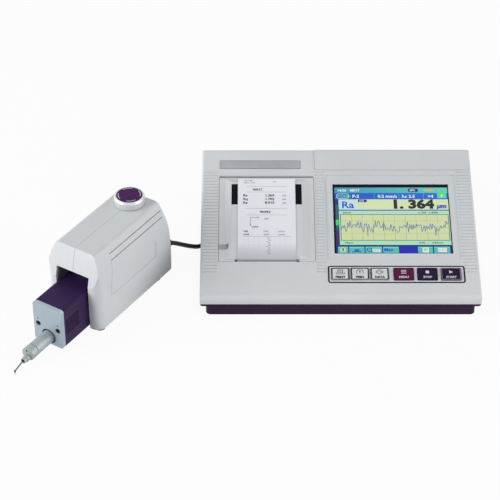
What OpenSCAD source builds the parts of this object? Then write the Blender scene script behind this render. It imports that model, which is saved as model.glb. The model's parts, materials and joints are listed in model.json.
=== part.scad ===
/* [Display case] */
// Width of the display unit
case_w = 275; // [255:1:295]
// Depth of the display unit
case_d = 186; // [180:1:200]
// Height of the deck plane above the table at the front face
front_h = 23.3; // [22:0.1:27]
// Slope of the deck
deck_slope = 15.2; // [14:0.1:17]
// Wall of the moulded cases
case_wall = 2.5; // [2:0.1:3]
// Height of the top case's lower edge
case_lift = 15.4; // [13:0.1:16]
// Radius of the rounded front edge
front_r = 7; // [5:0.5:8]
// Radius of the rear top edge
rear_r = 4; // [2:0.5:6]
// Radius along the side top edges
side_r = 2.5; // [1:0.5:4]
// Radius of the upright corners
corner_r = 1.5; // [1:0.5:4]
// How far the base stands in from the sides
base_inset = 6; // [5:0.5:9]
// Height of the rubber feet
foot_h = 2; // [1.5:0.1:3]
// Radius of a rubber foot
foot_r = 7; // [5:0.5:9]
// Distance between two moulded grooves
rib_pitch = 4; // [3:0.5:6]
// Depth of a moulded groove
rib_depth = 0.6; // [0.4:0.1:0.9]

/* [Screen and keys] */
// Width of the screen window
screen_w = 117.6; // [110:0.2:120]
// Length of the screen window along the deck
screen_l = 89.4; // [84:0.2:92]
// Right edge of the window from the right side of the case
screen_right = 24.6; // [22:0.2:28]
// Front edge of the window along the deck
screen_front = 55.2; // [52:0.2:58]
// Thickness of the touch glass
glass_t = 1.2; // [0.8:0.1:1.6]
// Width of the shallow bezel beside the window
bezel_side = 7.6; // [5:0.2:8]
// Depth of the bezel's recess
bezel_depth = 0.8; // [0.5:0.1:1.2]
// Length of the key panel along the deck
panel_l = 21.2; // [20:0.2:22]
// Front edge of the key panel along the deck
panel_front = 18; // [17:0.1:20]
// Thickness of the key panel
panel_t = 1.2; // [0.8:0.1:1.6]
// Length of a key along the deck
key_l = 14.8; // [13:0.2:15.6]
// Width of a small key
small_key_w = 17.6; // [15:0.2:18]
// Width of a large key
large_key_w = 19.4; // [18:0.2:20]
// How far a key stands out of its panel
key_proud = 1; // [0.7:0.1:1.4]
// Travel of a key
key_travel = 0.6; // [0.4:0.1:0.8]

/* [Printer] */
// Width of the printer cover
cover_w = 95.6; // [92:0.2:97]
// Length of the printer cover along the deck
cover_l = 110; // [108:0.5:112]
// Share of the free width that lies left of the cover
cover_shift = 0.611; // [0.55:0.001:0.65]
// Front edge of the cover along the deck
cover_front = 44.6; // [44:0.1:46]
// Height of the raised middle of the cover
crown_h = 3.2; // [2:0.1:4]
// Width of the paper
paper_w = 58; // [54:0.5:60]
// Thickness of the printed strip
paper_t = 0.3; // [0.2:0.05:0.4]
// Radius of the paper roll
roll_r = 20; // [15:0.5:21]
// Radius of the platen roller
platen_r = 4.5; // [3.5:0.1:4.6]
// Radius of the hinge pin
hinge_r = 1.5; // [1:0.1:2]

/* [Battery cover] */
// Left edge of the battery cover from the left side of the case
lid_left = 115.2; // [114.8:0.1:118]
// Length of the battery cover along the deck
lid_l = 29.9; // [27:0.1:31.5]
// How far the battery cover stands above the deck
lid_proud = 0.8; // [0.4:0.1:1.2]

/* [Height unit] */
// Width of the height unit's housing
housing_w = 62; // [60:0.5:66]
// Length of the housing at its foot
housing_l = 127; // [126:0.5:133]
// Height of the housing's flat top
housing_h = 86; // [84:0.5:92]
// Height where its sides begin to lean in
shoulder_h = 51; // [46:0.5:54]
// Radius of the leaning sides
shoulder_r = 72; // [66:0.5:80]
// Radius of the long top edges
top_r = 4; // [3:0.5:6]
// Wall of the housing
housing_wall = 3; // [2.5:0.1:3.2]
// Width of the front opening
mouth_w = 38; // [37:0.2:40]
// Height of the front opening
mouth_h = 61.4; // [60:0.2:64]
// Radius of the height knob
knob_r = 15.2; // [13:0.1:16]
// Height of the height knob
knob_h = 8.8; // [8:0.1:12]
// Distance of the knob from the housing's front
knob_y = 97; // [96:0.5:99]
// Range of the height adjustment
lift_range = 10; // [6:0.5:11]

/* [Drive unit] */
// Width of the drive unit
drive_w = 34; // [33.6:0.1:36]
// Height of the drive unit
drive_h = 44.4; // [43:0.1:45]
// Length of the drive unit
drive_l = 126; // [122:0.5:127]
// How far the drive unit stands out of the housing
drive_out = 40; // [36:0.2:41]
// Height of the drive unit above the table
drive_lift = 2.2; // [2:0.1:3]
// Thickness of the front plate
plate_t = 4; // [3:0.1:5]
// Wall of the drive case
drive_wall = 1.5; // [1.2:0.1:1.8]
// Travel of the detector
traverse_range = 25; // [15:1:26]

/* [Detector] */
// Radius of the detector tube
tube_r = 6.7; // [6:0.1:6.9]
// Height of the tube's axis above the drive unit's underside
tube_h = 8.9; // [8.8:0.05:9.2]
// Distance from the front plate to the tube's end
tube_out = 32; // [30:0.2:35]
// Length of the stepped nose
nose_l = 8; // [6:0.2:10]
// How far the nose lies below the tube's axis
nose_drop = 3; // [2:0.1:3.3]
// Radius of the stylus arm
arm_r = 0.9; // [0.7:0.05:1]
// Distance from the nose to the stylus
arm_out = 12.6; // [10:0.2:14]

/* [Arrangement] */
// Turn of the height unit about the upright
unit_turn = -32.9; // [-36:0.1:-30]
// Gap between the table-top centres of the two units, sideways
unit_gap = 121.7; // [120:0.1:130]
// How far the height unit's front stands ahead of the display's front
unit_ahead = 9.9; // [4:0.1:14]

/* [Hidden] */
$fn = 48;

// Clearances
slip = 0.2;       // between fixed pieces that drop into each other
gap = 0.4;        // around lids and keys
run = 0.05;       // radial, round shafts that turn or slide
hair = 0.1;       // between flat faces that move past each other
far = 400;        // longer than anything here, for cutting

// Colours
grey = [0.80, 0.81, 0.82];
purple = [0.20, 0.14, 0.28];
dark = [0.10, 0.10, 0.11];
metal = [0.70, 0.72, 0.75];
steel = [0.55, 0.56, 0.58];

// Where the parts of the set stand
stylus_y = -(drive_out + tube_out + nose_l + arm_out);
socket_rim = 3;
left_most = -unit_gap - stylus_y * sin(unit_turn) - arm_r;
front_most = -unit_ahead + stylus_y * cos(unit_turn) - arm_r;
display_x = -(left_most + case_w) / 2;
display_y = -(front_most + case_d + socket_rim) / 2;

module on_display() {
    translate([display_x, display_y, 0]) children();
}

// The deck's own frame: x along the width, y up the slope, z out of the deck
module on_deck() {
    on_display() translate([0, 0, front_h]) rotate([deck_slope, 0, 0]) children();
}

// The height unit's own frame: y from its front to its rear
module on_unit() {
    on_display() translate([-unit_gap, -unit_ahead, 0]) rotate([0, 0, unit_turn]) children();
}

// A flat outline with round corners, its first corner at the origin
module round_rect(w, l, r) {
    translate([r, 0]) square([w - 2 * r, l]);
    translate([0, r]) square([w, l - 2 * r]);
    for (x = [r, w - r], y = [r, l - r]) translate([x, y]) circle(r);
}

module plate(w, l, h, r) {
    linear_extrude(h) round_rect(w, l, r);
}

// An outline drawn in depth and height, carried along the width
module across(w) {
    rotate([90, 0, 90]) linear_extrude(w) children();
}

// A rod along the width
module rod_x(r, l) {
    rotate([0, 90, 0]) cylinder(r = r, h = l);
}

// A rod along the depth
module rod_y(r, l) {
    rotate([-90, 0, 0]) cylinder(r = r, h = l);
}

// Display case

base_front = 1;
base_rear = 4;
boss_inset = base_inset + 9;
boss_in = 14;
screw_r = 1.5;
screw_head_r = 3;
screw_head_h = 2;

// Side view of the case, grown by g, from height z0 up: the deck line with a round front and rear edge
module case_outline(g, z0) {
    fr = front_r + g;
    rr = rear_r + g;
    rise = tan(deck_slope);
    lift = g / cos(deck_slope);
    fz = front_h + front_r * rise - front_r / cos(deck_slope);
    ry = case_d - rear_r;
    rz = front_h + ry * rise - rear_r / cos(deck_slope);
    intersection() {
        union() {
            translate([front_r, fz]) circle(fr);
            translate([ry, rz]) circle(rr);
            polygon([[-g, 0], [-g, fz], [front_r - fr * sin(deck_slope), fz + fr * cos(deck_slope)],
                     [ry - rr * sin(deck_slope), rz + rr * cos(deck_slope)],
                     [case_d + g, rz], [case_d + g, 0]]);
        }
        translate([-g, z0]) square([case_d + 2 * g, far]);
    }
}

// The case's outer form, with its edges rounded along the sides and at the corners
module case_form() {
    intersection() {
        across(case_w) case_outline(0, case_lift);
        plate(case_w, case_d, far, corner_r);
        translate([0, 0, front_h]) rotate([deck_slope - 90, 0, 0]) translate([0, 0, -far])
            linear_extrude(3 * far) {
                translate([side_r, 0]) square([case_w - 2 * side_r, far]);
                translate([0, side_r]) square([case_w, far]);
                for (x = [side_r, case_w - side_r]) translate([x, side_r]) circle(side_r);
            }
    }
}

// The space inside the case
module case_hollow() {
    translate([case_wall, 0, 0]) across(case_w - 2 * case_wall)
        case_outline(-case_wall, case_lift + case_wall);
}

// The opening in the case's underside that the base closes
tray_w = case_w - 2 * base_inset;
tray_d = case_d - base_front - base_rear;
tray_r = 5;
module tray_outline(g) {
    translate([base_inset - g, base_front - g])
        round_rect(tray_w + 2 * g, tray_d + 2 * g, tray_r + g);
}

// Corner posts that the case screws pull up to
post_r = 5;
post_h = 5;
module at_posts() {
    for (x = [boss_inset, case_w - boss_inset], y = [base_front + boss_in, case_d - base_rear - boss_in])
        translate([x, y, 0]) children();
}

// One band of moulded grooves
rib_from = 31;
rib_to = 161;
rib_w = 1.2;
module rib_band(x, w) {
    for (t = [rib_from : rib_pitch : rib_to])
        translate([x, t, -rib_depth]) cube([w, rib_w, far]);
}

// Screen window and its shallow bezel
screen_x = case_w - screen_right - screen_w;
lcd_edge = 6;
bezel_top = 11.4;
bezel_front = 8;
module bezel_recess() {
    translate([screen_x - bezel_side, screen_front - bezel_front, -bezel_depth])
        plate(screen_w + 2 * bezel_side, screen_l + bezel_front + bezel_top, far, 2);
}

// Keys: each has its left edge from the panel's left edge, and its width
panel_x = screen_x - 7.2;
panel_w = screen_w + 16.8;
small_step = small_key_w + 1.7;
large_step = large_key_w + 3.8;
keys_left = 3.2;
large_left = keys_left + 3 * small_step + 3.4;
keys = [for (i = [0 : 2]) [keys_left + i * small_step, small_key_w],
        for (i = [0 : 2]) [large_left + i * large_step, large_key_w]];
key_r = 0.8;
key_y = panel_front + (panel_l - key_l) / 2;
module key_hole(k) {
    translate([panel_x + k[0] - gap, key_y - gap, -far / 2])
        plate(k[1] + 2 * gap, key_l + 2 * gap, far, key_r + gap);
}

// Printer cover and the bay below it
cover_x = (screen_x - bezel_side - cover_w) * cover_shift;
cover_end = cover_front + cover_l;
knuckle_r = 4;
pin_end = 0.3;
hinge_t = cover_end - knuckle_r;
hinge_n = -knuckle_r;
module bay_hole() {
    translate([cover_x - gap, cover_front - gap, -far / 2])
        plate(cover_w + 2 * gap, cover_l + 2 * gap, far, 1.5);
}

// The recess that the battery cover drops into
deck_l = case_d / cos(deck_slope);
lid_t = 2;
lid_right = 1.8;
lid_front = deck_l - lid_l;
lid_w = case_w - lid_right - lid_left;
module lid_zone(g, n) {
    translate([lid_left - g, lid_front - g, n]) plate(lid_w + 2 * g, far, far, 2);
}

// Battery pocket below the cover, in the room between the screen and the rear wall
pocket_wall = 1.6;
pack_w = 120;
pack_h = 18;
pack_in = 4;
pack_rear = 7.9;
pack_x = lid_left + (lid_w - pack_w) / 2;
pack_y = max(lid_front + pack_in, screen_front + screen_l + lcd_edge + pocket_wall + 2 * slip);
pack_l = deck_l - pack_rear - pack_y;
module pocket(g, depth) {
    translate([pack_x - g, pack_y - g, -depth])
        cube([pack_w + 2 * g, pack_l + 2 * g, depth - lid_t + lid_proud]);
}

// Nameplate strip, bare
name_x = 18.3;
name_w = 82.4;
name_y = 164.6;
name_l = 10.8;
name_t = 0.8;
name_proud = 0.3;

// Connector panel on the rear wall
rear_x = 40;
rear_w = 96;
rear_z = 24;
rear_h = 24;
rear_t = 2;
socket_x = 20;
socket_z = 25;
socket_r = 8;
socket_l = 10;

module rear_wall(y) {
    on_display() translate([0, case_d + y, 0]) children();
}

module top_case() color(grey) {
    difference() {
        on_display() case_form();
        on_display() case_hollow();
        on_display() linear_extrude(case_lift + 2 * case_wall) tray_outline(-2 * case_wall);
        on_deck() {
            rib_band(side_r, cover_x - side_r - 1.6);
            rib_band(cover_x + cover_w + 1.4, screen_x - bezel_side - cover_x - cover_w - 2.4);
            rib_band(screen_x + screen_w + bezel_side + 1, screen_right - bezel_side - 1 - side_r);
            bezel_recess();
            translate([screen_x, screen_front, -far / 2]) cube([screen_w, screen_l, far]);
            translate([panel_x - slip, panel_front - slip, -panel_t])
                plate(panel_w + 2 * slip, panel_l + 2 * slip, far, 2.5 + slip);
            for (k = keys) key_hole(k);
            bay_hole();
            lid_zone(slip, lid_proud - lid_t);
            pocket(slip, lid_t + pack_h);
            translate([name_x - slip, name_y - slip, name_proud - name_t])
                cube([name_w + 2 * slip, name_l + 2 * slip, far]);
        }
        rear_wall(-rear_t) translate([rear_x - slip, 0, rear_z - slip])
            cube([rear_w + 2 * slip, far, rear_h + 2 * slip]);
        rear_wall(-socket_l) translate([socket_x, 0, socket_z]) rod_y(socket_r - 1 + slip, 2 * socket_l);
    }
    difference() {
        on_deck() pocket(pocket_wall + slip, lid_t + pack_h + pocket_wall);
        on_deck() pocket(slip, lid_t + pack_h);
        on_deck() lid_zone(slip, lid_proud - lid_t);
    }
    difference() {
        on_display() at_posts() translate([-post_r, -post_r, case_lift])
            cube([2 * post_r, 2 * post_r, post_h]);
        on_display() at_posts() cylinder(r = screw_r + slip / 2, h = case_lift + post_h - 1.5);
    }
    on_deck() board_posts();
}

tray_floor = 2.5;
board_x = screen_x - 4;
board_y = 44;
board_w = 120;
board_l = 90;
board_t = 1.6;
standoff_h = 5;
standoff_r = 3;
module at_standoffs() {
    for (x = [board_x + 6, board_x + board_w - 6], y = [board_y + 6, board_y + board_l - 6])
        translate([x, y, 0]) children();
}

// A tray with a rim as wide as the case
rim_h = 2.8;
rim_in = 0.4;
rim_r = 3;
module bottom_case() color(purple) on_display() difference() {
    union() {
        difference() {
            union() {
                translate([0, 0, foot_h]) linear_extrude(case_lift - foot_h) tray_outline(0);
                translate([rim_in, rim_in, case_lift - rim_h])
                    plate(case_w - 2 * rim_in, case_d - 2 * rim_in, rim_h, rim_r);
            }
            translate([0, 0, foot_h + tray_floor]) linear_extrude(far) tray_outline(-case_wall);
        }
        at_posts() translate([0, 0, foot_h]) cylinder(r = post_r, h = case_lift - foot_h);
        at_standoffs() translate([0, 0, foot_h]) cylinder(r = standoff_r, h = tray_floor + standoff_h);
    }
    at_posts() cylinder(r = screw_r + slip / 2, h = far);
    at_posts() cylinder(r = screw_head_r + slip, h = foot_h + 1 + screw_head_h);
}

foot_in = base_inset + 32;
module rubber_feet() color(dark) on_display()
    for (x = [foot_in, case_w - foot_in], y = [base_front + boss_in, case_d - base_rear - boss_in])
        translate([x, y, 0]) cylinder(r = foot_r, h = foot_h);

module case_screws() color(steel) on_display() at_posts() translate([0, 0, foot_h + 1]) {
    cylinder(r = screw_head_r, h = screw_head_h);
    cylinder(r = screw_r, h = case_lift - foot_h + post_h - 4);
}

// A point of the case's side view, t along the deck and n out of it
function deck_point(t, n) = [t * cos(deck_slope) - n * sin(deck_slope),
                             front_h + t * sin(deck_slope) + n * cos(deck_slope)];
function arc_points(c, r, from, to, steps) =
    [for (i = [0 : steps]) let (a = from + (to - from) * i / steps) c + r * [cos(a), sin(a)]];

// The cover follows the case's rear edge, a little higher
module battery_cover() color(grey) intersection() {
    low = lid_proud - lid_t + hair / 2;
    bend_t = (case_d - rear_r * (1 + sin(deck_slope))) / cos(deck_slope);
    on_display() translate([lid_left, 0, 0]) across(lid_w) polygon(concat(
        [deck_point(lid_front, lid_proud), deck_point(lid_front, low)],
        arc_points(deck_point(bend_t, lid_proud - rear_r), rear_r,
                   deck_slope + asin((low - lid_proud + rear_r) / rear_r), 90 + deck_slope, 8)));
    on_display() plate(case_w, case_d, far, corner_r);
    on_deck() lid_zone(0, -far / 2);
}

module battery_pack() color(dark) on_deck() translate([pack_x, pack_y, -lid_t - pack_h])
    plate(pack_w, pack_l, pack_h - 1, 3);

module nameplate() color(metal) on_deck() translate([name_x, name_y, name_proud - name_t])
    cube([name_w, name_l, name_t]);

lcd_t = 7;
module lcd_panel() color(dark) on_deck()
    translate([screen_x - lcd_edge, screen_front - lcd_edge, -case_wall - hair / 2 - lcd_t])
    plate(screen_w + 2 * lcd_edge, screen_l + 2 * lcd_edge, lcd_t, 2);

module touch_glass() color([0.1, 0.2, 0.4]) on_deck()
    translate([screen_x + slip, screen_front + slip, -case_wall])
    cube([screen_w - 2 * slip, screen_l - 2 * slip, glass_t]);

module main_board() color([0.05, 0.3, 0.15]) on_display()
    translate([board_x, board_y, foot_h + tray_floor + standoff_h]) plate(board_w, board_l, board_t, 2);

module key_panel() color([0.85, 0.85, 0.86]) on_deck() difference() {
    translate([panel_x, panel_front, -panel_t]) plate(panel_w, panel_l, panel_t + slip, 2.5);
    for (k = keys) key_hole(k);
}

// Keys are let in from below, and a flange stops them at the case's wall
flange_t = 1;
flange_reach = 1.4;
switch_h = 1.5;
switch_top = -case_wall - hair - flange_t - key_travel - hair;
key_board_t = 1.2;
board_over = 5;
board_post_r = 2;
module key(k, tint) color(tint) on_deck() translate([panel_x + k[0], key_y, 0]) {
    translate([0, 0, -case_wall - hair - flange_t])
        plate(k[1], key_l, case_wall + hair + flange_t + slip + key_proud, key_r);
    translate([0, -flange_reach, -case_wall - hair - flange_t])
        plate(k[1], key_l + 2 * flange_reach, flange_t, key_r);
}
module print_key() key(keys[0], grey);
module feed_key() key(keys[1], grey);
module data_key() key(keys[2], grey);
module menu_key() key(keys[3], [0.35, 0.1, 0.25]);
module stop_key() key(keys[4], purple);
module start_key() key(keys[5], purple);

module board_posts() {
    for (x = [panel_x - board_over + board_post_r, panel_x + panel_w + board_over - board_post_r])
        translate([x, key_y + key_l / 2, switch_top - switch_h])
        cylinder(r = board_post_r, h = -switch_top + switch_h - case_wall + rib_depth / 2);
}

module key_board() color([0.05, 0.3, 0.15]) on_deck() {
    translate([panel_x - board_over, key_y, switch_top - switch_h - key_board_t])
        cube([panel_w + 2 * board_over, key_l, key_board_t]);
    for (k = keys) translate([panel_x + k[0] + k[1] / 2, key_y + key_l / 2, switch_top - switch_h])
        cylinder(r = 3, h = switch_h);
}

// Printer

frame_t = 2;
paper_x = cover_x + cover_w / 2;
bay_w = paper_w + 3;
roll_t = 118;
roll_gap = 0.4;
roll_n = -case_wall - 2 * hair - frame_t - roll_gap - roll_r;
shelf_n = -16;
platen_t = 52.8;
platen_n = -case_wall - 1.5 - platen_r;
platen_shaft_r = 1.5;
notch_l = 2.4;
notch_w = paper_w + 6;
notch_t = cover_front + notch_l;
crown_w = 71;
crown_slope = 6;
crown_end = hinge_t - 7;
crown_lip = 1;
crown_lead = 2.4;
window_t = 114.6;
window_l = 26.9;
window_h = 2;
tab_w = 7.9;
tab_l = 6.2;
tab_t = 59.6;
tab_h = 1.4;
tab_travel = 1.5;
tab_floor = 0.9;
strip_end = hinge_t - 3;
strip_r = 3.4;
strip_below = 0.8;
strip_lift = 0.3;

// Side view of the paper bay: a shelf for the platen and a trough for the roll, grown by g
module bay_outline(g) {
    front = cover_front - gap - slip;
    rear = cover_end + gap + slip;
    translate([front - g, shelf_n - g]) square([rear - front + 2 * g, -shelf_n + g - case_wall - hair]);
    translate([roll_t, roll_n]) circle(roll_r + roll_gap + g);
    translate([roll_t - roll_r - roll_gap - g, roll_n])
        square([2 * (roll_r + roll_gap + g), -roll_n - case_wall - hair]);
}

module printer_frame() color(dark) on_deck() {
    side = cover_x - gap - slip;
    inner = cover_w + 2 * gap + 2 * slip;
    difference() {
        union() {
            difference() {
                translate([side - frame_t, 0, 0]) across(inner + 2 * frame_t) bay_outline(frame_t);
                translate([side, 0, 0]) across(inner) union() {
                    bay_outline(0);
                    translate([cover_front, -case_wall - 1]) square([cover_l, far]);
                }
            }
            for (x = [paper_x - bay_w / 2 - frame_t, paper_x + bay_w / 2])
                translate([x, 0, 0]) across(frame_t) intersection() {
                    bay_outline(frame_t / 2);
                    translate([0, -far]) square([hinge_t - 6, far - case_wall - slip]);
                }
        }
        translate([0, platen_t, platen_n]) rod_x(platen_shaft_r + run, paper_x + bay_w / 2 + frame_t + 1);
        translate([side - frame_t + pin_end, hinge_t, hinge_n])
            rod_x(hinge_r + slip / 10, inner + 2 * (frame_t - pin_end));
    }
}

module printer_cover() color(grey) on_deck() difference() {
    union() {
        translate([cover_x, cover_front, -case_wall])
            plate(cover_w, hinge_t - cover_front + 1, case_wall, 1);
        translate([cover_x, hinge_t, hinge_n]) rod_x(knuckle_r, cover_w);
        intersection() {
            translate([cover_x, 0, 0]) across(cover_w) polygon([[notch_t, -1], [notch_t, crown_lip],
                [notch_t + crown_lead, crown_h], [crown_end, crown_h], [hinge_t, 0], [hinge_t, -1]]);
            translate([0, far, 0]) rotate([90, 0, 0]) linear_extrude(2 * far) polygon(
                [[paper_x - crown_w / 2 - crown_slope, -1], [paper_x - crown_w / 2 - crown_slope, 0],
                 [paper_x - crown_w / 2, crown_h], [paper_x + crown_w / 2, crown_h],
                 [paper_x + crown_w / 2 + crown_slope, 0], [paper_x + crown_w / 2 + crown_slope, -1]]);
        }
    }
    translate([paper_x - notch_w / 2, cover_front - 1, -far / 2]) cube([notch_w, notch_l + 1, far]);
    translate([paper_x - crown_w / 2, window_t, -far / 2]) cube([crown_w, window_l, far]);
    translate([cover_x - 1, hinge_t, hinge_n]) rod_x(hinge_r + run, cover_w + 2);
    translate([cover_x - 1, tab_t - slip, -case_wall + tab_floor])
        cube([1 + tab_w + tab_travel + gap, tab_l + 2 * slip, far]);
    translate([cover_x + 2, tab_t + tab_l / 2 - 1.5 - slip, -far / 2])
        cube([3 + tab_travel + gap, 3 + 2 * slip, far]);
}

module printer_window() color([0.05, 0.05, 0.06]) on_deck()
    translate([paper_x - crown_w / 2 + hair, window_t + hair, crown_h - window_h - 0.4])
        cube([crown_w - 2 * hair, window_l - 2 * hair, window_h]);

module hinge_pin() color(steel) on_deck()
    translate([cover_x - gap - slip - frame_t + pin_end + hair, hinge_t, hinge_n])
        rod_x(hinge_r, cover_w + 2 * (gap + slip + frame_t - pin_end - hair));

module release_tab() color([0.6, 0.61, 0.62]) on_deck() translate([cover_x, tab_t, -case_wall]) {
    translate([slip, 0, tab_floor + hair]) cube([tab_w - slip, tab_l, tab_h]);
    translate([2.2, tab_l / 2 - 1.5, -hair]) cube([2.8, 3, tab_floor + 3 * hair]);
    translate([1, tab_l / 2 - 2.5, -1 - hair]) cube([5, 5, 1]);
    for (x = [2.4, 4, 5.6]) translate([x, 1, tab_floor + hair]) cube([0.7, tab_l - 2, tab_h + 0.5]);
}

head_t = 1.2;
head_depth = 7;
module print_head() color(steel) on_deck()
    translate([paper_x - bay_w / 2 + 1, notch_t + gap, -case_wall - head_t])
    cube([bay_w - 2, head_depth, head_t]);

module platen_roller() color(dark) on_deck() translate([paper_x, platen_t, platen_n]) {
    translate([-paper_w / 2, 0, 0]) rod_x(platen_r, paper_w);
    translate([-bay_w / 2 - frame_t, 0, 0])
        rod_x(platen_shaft_r, bay_w + 2 * frame_t + motor_bore - gap - hair);
}

motor_r = 5.6;
motor_room = 3.3;
motor_l = (cover_w - bay_w) / 2 - frame_t - motor_room;
motor_bore = 4;
module feed_motor() color(steel) on_deck()
    translate([paper_x + bay_w / 2 + frame_t, platen_t, platen_n]) difference() {
        rod_x(motor_r, motor_l);
        translate([-1, 0, 0]) rod_x(platen_shaft_r + run, motor_bore + 1);
    }

bar_foot = 4;
bar_t = 0.8;
module tear_bar() color(metal) on_deck()
    translate([paper_x - bay_w / 2 + 1, cover_front - gap + hair, shelf_n + bar_foot])
    cube([bay_w - 2, bar_t, -shelf_n - bar_foot - gap]);

core_r = 6;
module paper_roll() color("white") on_deck()
    translate([paper_x - paper_w / 2, roll_t, roll_n]) difference() {
        rod_x(roll_r, paper_w);
        translate([-1, 0, 0]) rod_x(core_r, paper_w + 2);
    }

// The strip comes up through the notch and turns back over the cover
module paper_strip() color("white") on_deck() translate([paper_x - paper_w / 2, 0, 0]) across(paper_w) {
    turn_t = notch_t - 0.6 + strip_r;
    turn_n = crown_h + strip_lift - strip_r;
    translate([turn_t - strip_r - paper_t, -case_wall - strip_below])
        square([paper_t, turn_n + case_wall + strip_below]);
    intersection() {
        translate([turn_t, turn_n]) difference() {
            circle(strip_r + paper_t);
            circle(strip_r);
        }
        translate([turn_t - 9, turn_n]) square([9, 9]);
    }
    translate([turn_t, crown_h + strip_lift]) square([strip_end - turn_t, paper_t]);
}

// Rear connectors

inlet_x = rear_x + 20;
port_step = 28;
port_x = [inlet_x + 24, inlet_x + 24 + port_step];
port_t = 1;
port_proud = 0.6;
port_w = 16;
port_h = 3.4;
port_z = rear_z + rear_h / 2;
inlet_r = 5;

module rear_panel() color(dark) difference() {
    rear_wall(-rear_t) translate([rear_x, 0, rear_z]) cube([rear_w, rear_t, rear_h]);
    rear_wall(-far / 2) translate([inlet_x, 0, port_z]) rod_y(inlet_r + slip, far);
    for (x = port_x) rear_wall(-far / 2)
        translate([x - port_w / 2 - port_t - slip, 0, port_z - port_h / 2 - port_t - slip])
        cube([port_w + 2 * (port_t + slip), far, port_h + 2 * (port_t + slip)]);
}

module drive_socket() color(steel) rear_wall(0) translate([socket_x, 0, socket_z]) difference() {
    union() {
        rod_y(socket_r, socket_rim);
        translate([0, -socket_l, 0]) rod_y(socket_r - 1, socket_l + 1);
    }
    translate([0, -socket_l + 2, 0]) rod_y(plug_r + run, far);
}

module power_inlet() color(dark) rear_wall(-rear_t) translate([inlet_x, 0, port_z]) {
    difference() {
        rod_y(inlet_r, rear_t + 1);
        translate([0, 0.6, 0]) rod_y(2.8, far);
    }
    rod_y(1, rear_t);
}

module data_ports() color(metal) for (x = port_x) rear_wall(-rear_t) translate([x, 0, port_z]) difference() {
    translate([-port_w / 2 - port_t, 0, -port_h / 2 - port_t])
        cube([port_w + 2 * port_t, rear_t + port_proud, port_h + 2 * port_t]);
    translate([-port_w / 2, port_proud, -port_h / 2]) cube([port_w, far, port_h]);
}

// Height unit housing

half_w = housing_w / 2;
unit_foot = 2;
seam = 0.3;
face_lean = 8;
rear_lean = 14;
heel_in = 1.5;
heel_z = 9;
heel_cut = 6;
panel_y = 20;
panel_z = 33;
panel_len = 76;
stud_r = 3.4;
stud_in = housing_wall + 3;
stud_front = 8;
stud_rear = housing_l - 26;
upright_r = 9;
panel_depth = 0.5;
stud_l = 10;

// Cross-section up to a flat top, shrunk by g: upright sides, then sides that lean in on a large radius
module leaning_section(g, top) {
    lean_x = half_w - shoulder_r;
    translate([g - half_w, 0]) square([housing_w - 2 * g, shoulder_h]);
    intersection() {
        translate([lean_x, shoulder_h]) circle(shoulder_r - g);
        translate([-lean_x, shoulder_h]) circle(shoulder_r - g);
        translate([-half_w, shoulder_h - 1]) square([housing_w, top - shoulder_h + 1]);
    }
}

// The outer cross-section has round top edges that run into the leaning sides
module housing_section() {
    inner_r = shoulder_r - top_r;
    edge_z = housing_h - top_r;
    edge_x = half_w - shoulder_r + sqrt(inner_r * inner_r - (edge_z - shoulder_h) * (edge_z - shoulder_h));
    leaning_section(0, edge_z + top_r * (edge_z - shoulder_h) / inner_r);
    for (x = [-edge_x, edge_x]) translate([x, edge_z]) circle(top_r);
    translate([-edge_x, shoulder_h]) square([2 * edge_x, housing_h - shoulder_h]);
}

// Side view, shrunk by g: the front leans back above the mouth and the rear leans out to a cut lower corner
module housing_profile(g) {
    polygon([[g, unit_foot - 1], [g, shoulder_h - g], [face_lean + g, housing_h],
             [housing_l - rear_lean - g, housing_h], [housing_l - heel_in - g, heel_z],
             [housing_l - heel_cut - g, unit_foot - 1]]);
}

// A cross-section carried along the housing and cut to its side view
module housing_form(g) {
    intersection() {
        translate([0, housing_l, 0]) rotate([90, 0, 0]) linear_extrude(housing_l) children();
        translate([-half_w, 0, 0]) across(housing_w) housing_profile(g);
        translate([-half_w + g, g, unit_foot])
            plate(housing_w - 2 * g, housing_l - 2 * g, far, upright_r - g);
    }
}

// The cord leaves through the rear wall
gland_x = 8;
gland_z = 24;
gland_y = housing_l - 4;
gland_r = 6;
gland_bend = 44;
gland_dip = 8;

module at_studs() {
    for (s = [-1, 1], y = [stud_front, stud_rear]) translate([s * (half_w - stud_in), y, 0]) children();
}

module shell() {
    difference() {
        housing_form(0) housing_section();
        housing_form(housing_wall) leaning_section(housing_wall, housing_h - housing_wall);
        translate([-half_w, -1, 0]) cube([housing_w, housing_l + 2, unit_foot]);
        translate([-half_w + housing_wall, housing_wall, -1])
            plate(housing_w - 2 * housing_wall, housing_l - 2 * housing_wall - heel_cut - 2, unit_foot + 2,
                  upright_r - housing_wall);
        translate([-mouth_w / 2, -1, -1]) cube([mouth_w, housing_l / 2, mouth_h + 1]);
        translate([0, knob_y, housing_h / 2]) cylinder(r = neck_r + run, h = far);
        for (s = [-1, 1]) translate([s * half_w - panel_depth, panel_y, panel_z])
            cube([2 * panel_depth, panel_len, shoulder_h - panel_z]);
        translate([gland_x, gland_y - 8, gland_z]) rod_y(gland_r + slip, 20);
    }
    at_studs() translate([0, 0, unit_foot]) cylinder(r = stud_r, h = stud_l);
}

module housing_left() color(grey) on_unit() intersection() {
    shell();
    translate([-far - seam / 2, -far, 0]) cube([far, 2 * far, far]);
}

module housing_right() color(grey) on_unit() intersection() {
    shell();
    translate([seam / 2, -far, 0]) cube([far, 2 * far, far]);
}

unit_foot_r = 5;
module housing_feet() color(dark) on_unit() at_studs() cylinder(r = unit_foot_r, h = unit_foot);

// Height screw, its knob and the guide posts

neck_r = 5;
lead_r = 3;
post_x = 12;
guide_r = 3;
plate_h = 3;
support_z = housing_h - housing_wall - plate_h;
post_foot = 14;
shelf_edge = 0.8;
shelf_y = knob_y - 22;
shelf_end = housing_l - rear_lean - housing_wall - gap;

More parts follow.
